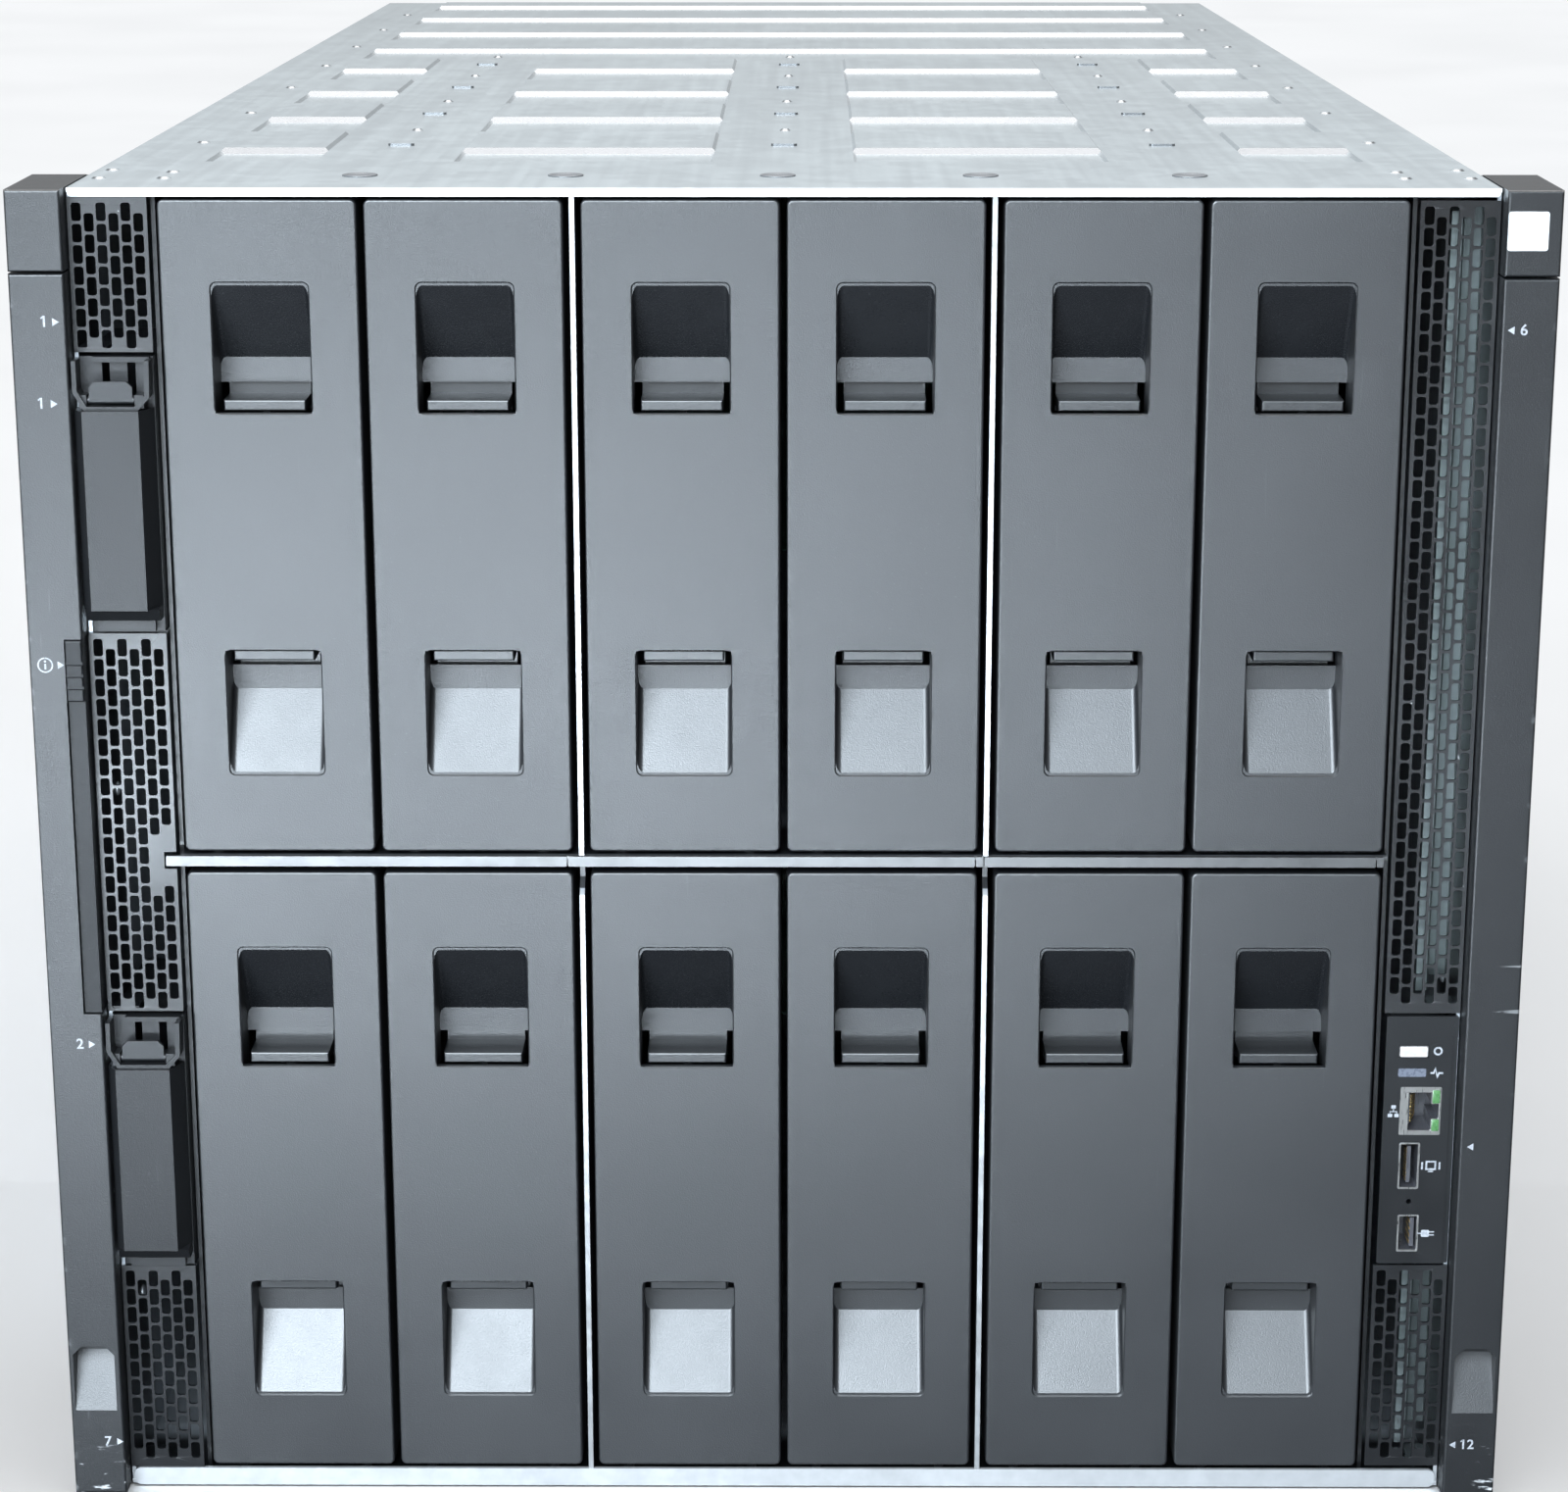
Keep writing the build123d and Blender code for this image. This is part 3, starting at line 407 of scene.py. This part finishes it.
def galvanised(
    name, dark, light, rough, spangle_mm,
    # the front edge band's tone is a painted highlight (darker on the strips); painted is the share of
    # painted shade behind it
    edge_light_tone=None, edge_top=1.0, painted=zinc_share, shade_flanks=False, uneven=1.0,
):
    finish, bench = new_finish(name)
    place = own_place(bench)
    x, y, z = axes_of(place)
    wobble = clouds(stretched(place, (1.0, 0.25, 1.0)), 60.0, 3.0)
    cells = {"Vector": place, "Scale": 1000.0 / spangle_mm, "Randomness": 1.0}
    crystal = place.node("ShaderNodeTexVoronoi", {"feature": "F1"}, cells, out="Color")
    spangle = place.node("ShaderNodeSeparateColor", {}, {"Color": crystal})
    rolled = clouds(stretched(place, (1.0, 0.02, 1.0)), 3.5, 3.0)
    stain = ranged(clouds(place, 70.0, 5.0, 0.6), 0.50, 0.80)
    colour = tinted(spangle * 0.12 + rolled * 0.38 + wobble * 0.5, dark, light)
    colour = tinted(stain * (0.12 * uneven), colour, stain_grey)
    if shade_flanks:
        # painted shade: steep faces of the pressings that look forwards are darkened, which keeps their
        # bright line narrow
        normal = bench.node("ShaderNodeNewGeometry", out="True Normal")
        forward_flank = ranged(axes_of(normal)[1], -0.15, -0.45)
        colour = tinted(forward_flank * ranged(y, front + 0.004, front + 0.006), colour, flank_shade_grey)
    patches = spangle * 0.25 + rolled * 0.6 + stain * 0.15
    gloss = ranged(patches, 0.2, 0.8, rough - 0.05 * uneven, rough + 0.07 * uneven)
    bumps = relief(spangle * 0.1 + rolled * 0.9, 0.006 * uneven, 0.3)
    metal = zinc_share
    if edge_light_tone is not None:
        # painted highlight: a narrow band at the front edge takes a tone set for how bright the edge
        # shows under the lamps, lighter on the shell and cover lips, darker on the shelf strips
        edge = ranged(y, front + 0.0017, front + 0.0013) * ranged(z, edge_top + 0.0003, edge_top)
        lit_edge_colour = tinted(rolled, edge_light_tone, tuple(1.25 * c for c in edge_light_tone))
        colour = tinted(edge, colour, lit_edge_colour)
        # painted shade: the first few centimetres behind the front, inside the side walls, are darkened
        # so that no gap shines
        gap_shade = ranged(y, front + 0.0017, front + 0.0020) * ranged(y, front + 0.050, front + 0.030)
        gap_shade = gap_shade * ranged(abs(x), inner_wall[1], inner_wall[0])
        colour = tinted(gap_shade * (painted / zinc_share), colour, gap_shade_black)
        metal = zinc_share - gap_shade * painted
    shaded(bench, Base_Color=colour, Metallic=metal, Roughness=gloss, Normal=bumps)
    return finish


print("galvanised finish ready")

# %% [markdown]
# ## One zinc for each sheet
# The sheets of the box differ a little: the cover is flat and clean, the shell is streaked, the
# narrow strips at the bays are small-grained, and the supplies are newer and brighter. One
# function with other numbers makes them all, which keeps them a family.

# %% Zinc sheets
finishes["galvanised"] = galvanised("zinc_sheet", (0.25, 0.27, 0.29), (0.37, 0.39, 0.41), 0.33, 9.0)
finishes["shell"] = galvanised(
    "shell_sheet", (0.25, 0.27, 0.29), (0.36, 0.38, 0.40), 0.33, 9.0,
    edge_light_tone=(0.38, 0.385, 0.39), edge_top=0.0088, uneven=0.5,
)
finishes["cover"] = galvanised(
    "cover_sheet", (0.205, 0.222, 0.232), (0.315, 0.343, 0.350), 0.36, 9.0,
    edge_light_tone=(0.48, 0.49, 0.495), painted=0.0, shade_flanks=True, uneven=0.35,
)
# the colour after the zinc is the tone of the front edge band, painted darker on the shelf strips and
# near the sheet's own tone on the dividers
strip_zinc = ((0.20, 0.21, 0.23), (0.30, 0.32, 0.34), 0.33, 6.0)
finishes["strip"] = galvanised("strip_sheet", *strip_zinc, (0.062, 0.062, 0.062))
finishes["divider"] = galvanised("divider_sheet", *strip_zinc, (0.24, 0.243, 0.246))
finishes["supply"] = galvanised("supply_sheet", (0.42, 0.44, 0.46), (0.62, 0.64, 0.66), 0.38, 7.0)
# painted shade: the bracket's zinc is much darker than the pale sheet, for its place in shadow behind
# the grille
finishes["bracket"] = galvanised("bracket_sheet_shaded", (0.07, 0.085, 0.085), (0.12, 0.14, 0.14), 0.40, 7.0)
print("finishes so far:", len(finishes))

# %% [markdown]
# ## Painted steel
# Grilles, rack flanges and the port plate are steel under a thin dark powder coat. Powder
# paint flows out into a slight orange peel, finer and glossier than moulded grain. Where a
# part is handled the coat polishes, so the gloss follows the large clouds.

# %% Powder coat
def powder_coat(name, dark, light, rough, peel_mm, sheen=0.5):
    finish, bench = new_finish(name)
    place = own_place(bench)
    handled = clouds(place, 40.0, 3.0)
    peel = clouds(place, peel_mm, 1.0)
    chips = ranged(clouds(place, 1.6, 2.0, 0.6), 0.74, 0.78) * ranged(handled, 0.5, 0.7)
    colour = tinted(handled * 0.7 + peel * 0.3, dark, light)
    colour = tinted(chips * 0.7, colour, (0.45, 0.46, 0.47))
    gloss = ranged(handled, 0.3, 0.7, rough - 0.07, rough + 0.07)
    bumps = relief(peel, 0.05, 0.4)
    shaded(bench, Base_Color=colour, Roughness=gloss, Normal=bumps, Specular_IOR_Level=sheen)
    return finish


finishes["grille"] = powder_coat(
    "grille_paint", (0.0018, 0.0019, 0.0022), (0.0042, 0.0044, 0.0049), 0.34, 0.5, 0.36)
finishes["flange"] = powder_coat(
    "flange_paint", (0.0030, 0.0032, 0.0036), (0.0066, 0.0070, 0.0077), 0.42, 0.6)
finishes["panel"] = powder_coat(
    "plate_paint", (0.0016, 0.0018, 0.0021), (0.0040, 0.0043, 0.0048), 0.44, 0.5, 0.20)
finishes["link"] = powder_coat("cover_paint", (0.055, 0.058, 0.062), (0.10, 0.105, 0.11), 0.45, 0.6)
finishes["fan"] = moulded("fan_plastic", (0.026, 0.027, 0.029), (0.055, 0.057, 0.060), 0.46, 0.7, 0.05)
print("painted finishes ready")

# %% [markdown]
# ## Ports, lamp, button and board
# The sockets have plated shells with dark insulation inside. One node carries both, so the
# finish turns from metal to dark plastic with depth behind the plate. The button and the
# lamp lens are pale clear plastic: a coat gives the gloss, clouds give the milky body.

# %% Small finishes
def socket_finish():
    finish, bench = new_finish("socket_shells")
    place = own_place(bench)
    x, y, z = axes_of(place)
    inside = ranged(y, front + 0.0003, front + 0.0007)
    brushed = clouds(stretched(place, (1.0, 1.0, 0.08)), 0.4, 2.0)
    plated = tinted(brushed, (0.23, 0.226, 0.216), (0.31, 0.304, 0.291))
    insulation = tinted(brushed, (0.012, 0.012, 0.014), (0.03, 0.03, 0.034))
    shaded(
        bench,
        Base_Color=tinted(inside, plated, insulation),
        Metallic=1.0 - inside,
        Roughness=ranged(brushed, 0.2, 0.8, 0.24, 0.42),
        Normal=relief(brushed, 0.02, 0.3),
    )
    return finish


def lens_finish(name, dark, light, glow):
    finish, bench = new_finish(name)
    milk = clouds(own_place(bench), 1.6, 3.0)
    colour = tinted(milk, dark, light)
    shaded(
        bench,
        Base_Color=colour,
        Roughness=ranged(milk, 0.3, 0.7, 0.22, 0.36),
        Normal=relief(milk, 0.03, 0.3),
        # painted glow: a faint emission makes the milky plastic glow a little though no lamp is lit
        # behind it
        Emission_Color=colour,
        Emission_Strength=glow,
        Coat_Weight=0.6,
    )
    return finish


def board_finish():
    finish, bench = new_finish("board_resin")
    weave = clouds(stretched(own_place(bench), (1.0, 1.0, 0.2)), 1.2, 2.0)
    shaded(
        bench,
        Base_Color=tinted(weave, (0.012, 0.055, 0.030), (0.03, 0.11, 0.06)),
        Roughness=ranged(weave, 0.3, 0.7, 0.3, 0.45),
        Normal=relief(weave, 0.03, 0.4),
    )
    return finish


finishes["port"] = socket_finish()
finishes["button"] = lens_finish("button_plastic", (0.16, 0.152, 0.15), (0.26, 0.25, 0.245), 0.01)
finishes["light"] = lens_finish("lens_plastic", (0.030, 0.034, 0.044), (0.060, 0.067, 0.085), 0.01)
finishes["board"] = board_finish()
print("all finishes:", len(finishes))

# %% [markdown]
# ## Dressing the nodes
# Each node of the frame came in with a plain material named for its slot. The slot's name
# says which finish belongs there, so one loop swaps them all and reports any left over. Four
# sheets share a slot but differ in their zinc, so they are looked up by their own name first.

# %% Finishes on the frame
own_zinc = {
    "chassis_shell": "shell",
    "top_cover": "cover",
    "bay_shelves": "strip",
    "bay_dividers": "divider",
}
plain = set()
for name, piece in nodes.items():
    for slot in piece.material_slots:
        wanted = own_zinc.get(name, slot.material.name.split(".")[0])
        if wanted in finishes:
            slot.material = finishes[wanted]
        else:
            plain.add(wanted)
print("slots without a finish:", sorted(plain))

# %% [markdown]
# ## Edges that catch the light
# No pressed or moulded edge is truly sharp, and the thin line of light along it is what makes
# it read as steel or plastic. The nodes may not be reshaped by hand, but a modifier may follow
# them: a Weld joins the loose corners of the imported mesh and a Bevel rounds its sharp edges.

# %% Edge bevels
edge_widths_mm = {
    "left_grilles": 0.16,
    "right_grilles": 0.16,
    "front_panel_plate": 0.2,
    "front_panel_ports": 0.12,
}
for name, width_mm in edge_widths_mm.items():
    weld = nodes[name].modifiers.new("weld", "WELD")
    weld.merge_threshold = 0.00001
    bevel = nodes[name].modifiers.new("edge", "BEVEL")
    bevel.width = width_mm / 1000.0
    bevel.segments = 2
    bevel.limit_method = "ANGLE"
    bevel.angle_limit = math.radians(50.0)
    bevel.use_clamp_overlap = True
print("bevelled edges on", sorted(edge_widths_mm))

# %% [markdown]
# ## Drawing in millimetres
# Prints, rivets and contacts are too small for the solid model, yet the eye looks for them.
# Each is drawn from points in millimetres, measured from the front of the chassis. The two
# simplest forms are an outline closed into a thin slab and a ribbon that follows a line.

# %% Slabs and ribbons
def spot(x, y, z):
    return Vector((x / 1000.0, front + y / 1000.0, z / 1000.0))


def bridge(mesh, rings, closed_ends=True):
    for one, two in zip(rings, rings[1:]):
        for i in range(len(one)):
            j = (i + 1) % len(one)
            mesh.faces.new((one[i], one[j], two[j], two[i]))
    if closed_ends:
        mesh.faces.new(rings[0][::-1])
        mesh.faces.new(rings[-1])


def slab(mesh, outline, y_front, y_back):
    bridge(mesh, [[mesh.verts.new(spot(x, y, z)) for x, z in outline] for y in (y_front, y_back)])


def ribbon(mesh, points, width, y_front, y_back):
    points = [Vector(point) for point in points]
    runs = [(b - a).normalized() for a, b in zip(points, points[1:])]
    left, right = [], []
    for i, point in enumerate(points):
        first = runs[max(i - 1, 0)]
        middle = (first + runs[min(i, len(runs) - 1)]).normalized()
        reach = width / 2.0 / max(0.45, middle.dot(first))
        left.append(point + Vector((-middle.y, middle.x)) * reach)
        right.append(point - Vector((-middle.y, middle.x)) * reach)
    slab(mesh, left + right[::-1], y_front, y_back)


def arc(x, z, radius, start, end, steps):
    turns = [math.radians(start + (end - start) * i / steps) for i in range(steps + 1)]
    return [(x + radius * math.cos(a), z + radius * math.sin(a)) for a in turns]


def rounded_outline(x0, x1, z0, z1, radius, steps=6):
    corners = ((x1, z1, 0), (x0, z1, 90), (x0, z0, 180), (x1, z0, 270))
    line = []
    for x, z, start in corners:
        cx = x - radius if x == x1 else x + radius
        cz = z - radius if z == z1 else z + radius
        line += arc(cx, cz, radius, start, start + 90, steps)
    return line


print("tools: slab, ribbon, arc, rounded outline")

# %% [markdown]
# ## Round and bent parts
# A rivet or a screw is a profile turned about an axis, as on a lathe; giving a ring a number of
# sides flattens it, which makes a key socket. A spring wire or a bracket is a strip bent along a
# path. Both are rings of corners joined one to the next, so they share the bridge above.

# %% Turned and bent parts
def turned(mesh, centre, axis, profile, steps=24):
    tilt = Vector((0.0, 0.0, 1.0)).rotation_difference(Vector(axis))
    rings = []
    for radius, height, sides in profile:
        ring = []
        for i in range(steps):
            a = 2.0 * math.pi * i / steps
            flat = radius
            if sides:
                part = 2.0 * math.pi / sides
                flat = radius * math.cos(part / 2.0) / math.cos(a % part - part / 2.0)
            offset = Vector((flat * math.cos(a), flat * math.sin(a), height)) / 1000.0
            ring.append(mesh.verts.new(spot(*centre) + tilt @ offset))
        rings.append(ring)
    bridge(mesh, rings)


def bent_strip(mesh, path, z, width, thick):
    rings = []
    for i, (x, y) in enumerate(path):
        ahead, behind = path[min(i + 1, len(path) - 1)], path[max(i - 1, 0)]
        run = Vector((ahead[0] - behind[0], ahead[1] - behind[1])).normalized() * thick / 2.0
        corners = ((1, 1), (1, -1), (-1, -1), (-1, 1))
        ring = [spot(x - a * run.y, y + a * run.x, z + b * width / 2.0) for a, b in corners]
        rings.append([mesh.verts.new(point) for point in ring])
    bridge(mesh, rings)


print("tools: turned, bent strip")

# %% [markdown]
# ## From mesh to piece
# Real edges are slightly round, so one step bevels the sharp ones. The other gives the mesh its
# finish and a name, and lets it ride on the body that carries it.

# %% Softened edges and new pieces
def softened(mesh, width_mm, segments=2):
    bmesh.ops.remove_doubles(mesh, verts=mesh.verts, dist=1e-7)
    bmesh.ops.recalc_face_normals(mesh, faces=mesh.faces)
    sharp = [e for e in mesh.edges if len(e.link_faces) == 2 and e.calc_face_angle() > 0.7]
    sizes = {"offset": width_mm / 1000.0, "segments": segments, "profile": 0.5, "affect": "EDGES"}
    bmesh.ops.bevel(mesh, geom=sharp, clamp_overlap=True, **sizes)


def new_piece(name, mesh, body, finish, smooth=False):
    bmesh.ops.recalc_face_normals(mesh, faces=mesh.faces)
    for face in mesh.faces:
        face.smooth = smooth
    data = bpy.data.meshes.new(name)
    mesh.to_mesh(data)
    mesh.free()
    data.materials.append(finish)
    piece = bpy.data.objects.new(name, data)
    bpy.context.scene.collection.objects.link(piece)
    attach(piece, body)
    print("piece:", name, len(data.polygons), "faces on", body)
    return piece


print("tools: softened, new piece")

# %% [markdown]
# ## Finishes for prints and contacts
# Screen-printed ink is thin and slightly starved, so its tone breaks up. Paper shows fibres,
# gold contacts are a soft polished metal, and the small lamps of a jack are tinted plastic.

# %% Ink, paper, gold and green lens
def ink_finish(name, dark, light, worn_mm):
    finish, bench = new_finish(name)
    place = own_place(bench)
    starved = clouds(place, worn_mm, 3.0, 0.6)
    fibre = clouds(stretched(place, (1.0, 1.0, 0.3)), 0.5, 2.0)
    shaded(
        bench,
        Base_Color=tinted(ranged(starved * 0.7 + fibre * 0.3, 0.32, 0.62), dark, light),
        Roughness=ranged(fibre, 0.3, 0.7, 0.5, 0.7),
        Normal=relief(fibre, 0.02, 0.3),
    )
    return finish


def contact_finish():
    finish, bench = new_finish("contact_gold")
    rub = clouds(stretched(own_place(bench), (1.0, 0.1, 1.0)), 0.3, 2.0)
    shaded(
        bench,
        Base_Color=tinted(rub, (0.52, 0.34, 0.11), (0.74, 0.52, 0.21)),
        Metallic=1.0,
        Roughness=ranged(rub, 0.3, 0.7, 0.22, 0.4),
        Normal=relief(rub, 0.01, 0.3),
    )
    return finish


print_ink = ink_finish("print_ink", (0.085, 0.09, 0.10), (0.15, 0.155, 0.165), 1.2)
label_paper = ink_finish("label_paper", (0.17, 0.175, 0.175), (0.24, 0.245, 0.245), 3.0)
contact_gold = contact_finish()
green_lens = lens_finish("green_lens", (0.018, 0.055, 0.018), (0.035, 0.10, 0.03), 0.02)
print("small finishes: ink, paper, gold, green lens")

# %% [markdown]
# ## Bay numbers on the ears
# Each ear carries the number of the bay beside it. A text object is the short way to a number:
# Blender draws the figures, an extrude of a few hundredths of a millimetre gives the ink its
# body, and the object turns to face forwards.

# %% Bay numbers
ear_face = -8.0
figure_size = 0.0049
ink_spread = 0.00007
ink_body = 0.00003


def printed_number(name, text, x, z, body):
    curve = bpy.data.curves.new(name, "FONT")
    curve.body = text
    curve.align_x = "CENTER"
    curve.align_y = "CENTER"
    curve.size = figure_size
    curve.offset = ink_spread
    curve.extrude = ink_body
    curve.materials.append(print_ink)
    number = bpy.data.objects.new(name, curve)
    number.location = spot(x, ear_face, z)
    number.rotation_euler = (math.pi / 2.0, 0.0, 0.0)
    bpy.context.scene.collection.objects.link(number)
    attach(number, body)


left_numbers = [("1", -230.7, 401.3), ("1", -232.9, 375.5), ("2", -231.6, 162.6), ("7", -229.4, 19.8)]
right_numbers = [("6", 230.9, 399.0), ("12", 231.5, 19.6)]
for side, numbers in (("left", left_numbers), ("right", right_numbers)):
    for i, (text, x, z) in enumerate(numbers):
        printed_number(side + "_number_" + str(i + 1), text, x, z, side + "_ear_bezel")
print("numbers:", len(left_numbers), "on the left ear,", len(right_numbers), "on the right")

# %% [markdown]
# ## Triangles and the ringed letter
# A small triangle points from each number at its bay. Blender's own figure one is a bare bar,
# so each one also gets a short flag, set by how far its bar stands from the number's middle.
# A ringed letter marks the information tab.

# %% Marks on the ears
ear_ink = (ear_face - 0.03, ear_face + 0.05)
bar_offsets = {"1": 0.0, "12": -1.22}


def triangle(mesh, x, z, way):
    base = x - way * 1.0
    slab(mesh, [(base, z + 1.25), (base, z - 1.25), (x + way * 1.1, z)], *ear_ink)


def flags_of_ones(mesh, numbers):
    for text, x, z in numbers:
        if text in bar_offsets:
            bar = x + bar_offsets[text]
            ribbon(mesh, [(bar - 0.95, z + 1.12), (bar - 0.22, z + 1.70)], 0.5, *ear_ink)


left_marks = bmesh.new()
for x, z in ((-227.1, 401.3), (-228.9, 375.5), (-231.2, 291.1), (-227.7, 162.6), (-225.3, 19.8)):
    triangle(left_marks, x, z, 1)
flags_of_ones(left_marks, left_numbers)
ring_x = -236.2
ribbon(left_marks, arc(ring_x, 291.1, 2.3, 92, 448, 36), 0.45, *ear_ink)
ribbon(left_marks, [(ring_x, 291.5), (ring_x, 289.7)], 0.6, *ear_ink)
slab(left_marks, arc(ring_x, 292.35, 0.38, 0, 330, 11), *ear_ink)
right_marks = bmesh.new()
flags_of_ones(right_marks, right_numbers)
for x, z in ((226.9, 399.0), (227.4, 127.4), (226.6, 19.6)):
    triangle(right_marks, x, z, -1)
new_piece("left_ear_marks", left_marks, "left_ear_bezel", print_ink)
new_piece("right_ear_marks", right_marks, "right_ear_bezel", print_ink)

# %% [markdown]
# ## Symbols on the port plate
# Plain symbols stand beside the button, the lamp and the sockets: a ring, a pulse, three
# joined squares, a screen and a plug. They are ribbons and slabs a few hundredths thick.

# %% Plate symbols
marks = bmesh.new()
ink = (-0.03, 0.05)
ribbon(marks, arc(216.7, 158.1, 1.2, 92, 448, 24), 0.6, *ink)
pulse = [(214.5, 150.4), (215.6, 150.4), (216.1, 151.9), (216.8, 149.0), (217.3, 150.4), (218.7, 150.4)]
ribbon(marks, pulse, 0.6, *ink)
for x, z in ((202.8, 138.4), (201.7, 135.4), (203.9, 135.4)):
    slab(marks, rounded_outline(x - 0.75, x + 0.75, z - 0.6, z + 0.6, 0.15, 2), *ink)
ribbon(marks, [(202.8, 137.7), (202.8, 136.9)], 0.3, *ink)
ribbon(marks, [(201.7, 136.1), (201.7, 136.75), (203.9, 136.75), (203.9, 136.1)], 0.3, *ink)
screen = [(215.9, 119.0), (214.6, 119.0), (214.6, 116.3), (217.6, 116.3), (217.6, 119.0), (216.0, 119.0)]
ribbon(marks, screen, 0.6, *ink)
ribbon(marks, [(215.2, 115.5), (217.0, 115.5)], 0.4, *ink)
for x in (213.2, 219.0):
    ribbon(marks, [(x, 118.8), (x, 116.2)], 0.6, *ink)
slab(marks, rounded_outline(213.9, 216.6, 92.0, 94.5, 0.4, 3), *ink)
for z in (92.7, 93.8):
    ribbon(marks, [(216.6, z), (218.3, z)], 0.4, *ink)
ribbon(marks, [(212.6, 93.25), (213.9, 93.25)], 0.4, *ink)
new_piece("plate_symbols", marks, "chassis", print_ink)

# %% [markdown]
# ## A bare label on the right cap
# The right cap carries a small paper label. It is a rounded slab a tenth of a millimetre thick,
# with its edge softened so that it catches a line of light.

# %% Cap label
label = bmesh.new()
slab(label, rounded_outline(224.3, 237.0, 423.7, 435.9, 0.9), ear_face - 0.10, ear_face + 0.05)
softened(label, 0.04, 1)
new_piece("cap_label", label, "chassis", label_paper)

# %% [markdown]
# ## Inside the sockets
# A socket looks right when something glints inside it. The network jack has eight bent spring
# wires and two small lamps in its face, and the two flat sockets have gold pads on a tongue.

# %% Contacts and jack lamps
contacts = bmesh.new()
for i in range(8):
    wire = [(208.9, 3.2), (209.0, 4.0), (210.4, 7.5), (211.6, 11.0), (211.8, 12.6)]
    bent_strip(contacts, wire, 132.3 + 1.27 * i, 0.5, 0.25)
for i in range(4):
    bent_strip(contacts, [(210.15, 1.5), (210.1, 1.9), (210.1, 8.0)], 89.6 + 2.45 * i, 1.1, 0.12)
for i in range(10):
    bent_strip(contacts, [(208.16, 1.9), (208.12, 2.2), (208.12, 7.0)], 111.8 + 1.24 * i, 0.5, 0.10)
new_piece("socket_contacts", contacts, "chassis", contact_gold)
lamps = bmesh.new()
for z0, z1 in ((139.7, 144.3), (129.9, 134.0)):
    slab(lamps, rounded_outline(215.6, 218.1, z0, z1, 0.4, 4), -0.12, 0.6)
softened(lamps, 0.10)
new_piece("jack_lamps", lamps, "chassis", green_lens, True)

# %% [markdown]
# ## A bracket behind the right grille
# Through one slot column of the right grilles a pale strip of sheet can be seen. It is a bent
# bracket that stands on the side wall, so it is one path pulled up to two heights.

# %% Grille bracket
bracket = bmesh.new()
bracket_path = [(209.9, 10.0), (213.3, 10.0), (213.6, 10.4), (213.6, 26.0), (214.0, 26.4), (222.4, 26.4)]
for z0, z1 in ((176.0, 434.0), (12.0, 78.0)):
    bent_strip(bracket, bracket_path, (z0 + z1) / 2.0, z1 - z0, 0.8)
softened(bracket, 0.1, 1)
# its finish is painted darker than the pale sheet, a painted shade for the grille's shadow
new_piece("grille_bracket", bracket, "chassis", finishes["bracket"])

# %% [markdown]
# ## Plugs in the cover
# Five shallow plugs close the holes along the front of the cover. Each is one turned profile
# with a raised rim and a dished middle, so that its ring catches the light.

# %% Cover plugs
plug = [(5.7, -0.05, 0), (5.7, 0.3, 0), (5.3, 0.45, 0), (4.7, 0.40, 0), (4.3, 0.16, 0), (0.6, 0.10, 0)]
plugs = bmesh.new()
for x in (-136.0, -70.0, -2.0, 63.0, 130.0):
    turned(plugs, (x, 36.0, 442.0), (0.0, 0.0, 1.0), plug, 40)
new_piece("cover_plugs", plugs, "chassis", finishes["fan"], True)

# %% [markdown]
# ## Rivets and screws
# Domed rivets hold the sheets together; some glint through the slots of the side grilles, and
# flatter ones run along the walls. The flange legs are held by low screws with a six-sided
# socket, which is the same turn with its inner rings flattened to six sides.

# %% Rivets and screws
dome = [(2.3, -0.4, 0), (2.3, 0.15, 0), (2.1, 0.5, 0), (1.5, 0.85, 0), (0.7, 1.02, 0)]
flat_dome = [(2.5, -0.3, 0), (2.5, 0.1, 0), (2.2, 0.35, 0), (1.4, 0.55, 0), (0.5, 0.62, 0)]
screw = [
    (3.5, -0.2, 0), (3.5, 0.7, 0), (3.2, 1.15, 0), (2.7, 1.35, 0),
    (1.75, 1.35, 6), (1.6, 1.2, 6), (1.6, 0.35, 6), (0.6, 0.2, 6),
]
inner_rivets = {
    222.3: (431.0, 367.5, 303.2, 239.8, 174.7, 58.9),
    -222.3: (343.0, 290.0, 239.8, 130.0, 58.9),
}
rivets = bmesh.new()
for x, heights in inner_rivets.items():
    for z in heights:
        turned(rivets, (x, 29.0, z), (-math.copysign(1.0, x), 0.0, 0.0), dome)
screws = bmesh.new()
for s in (-1.0, 1.0):
    for z in (24.0, 418.0):
        for y in range(170, 900, 120):
            turned(rivets, (s * 223.5, y, z), (s, 0.0, 0.0), flat_dome)
    for z in (30.0, 143.0, 328.0, 412.0):
        for y in (62.0, 96.0):
            turned(screws, (s * 224.9, y, z), (s, 0.0, 0.0), screw)
new_piece("sheet_rivets", rivets, "chassis", finishes["supply"], True)
new_piece("flange_screws", screws, "chassis", finishes["supply"])
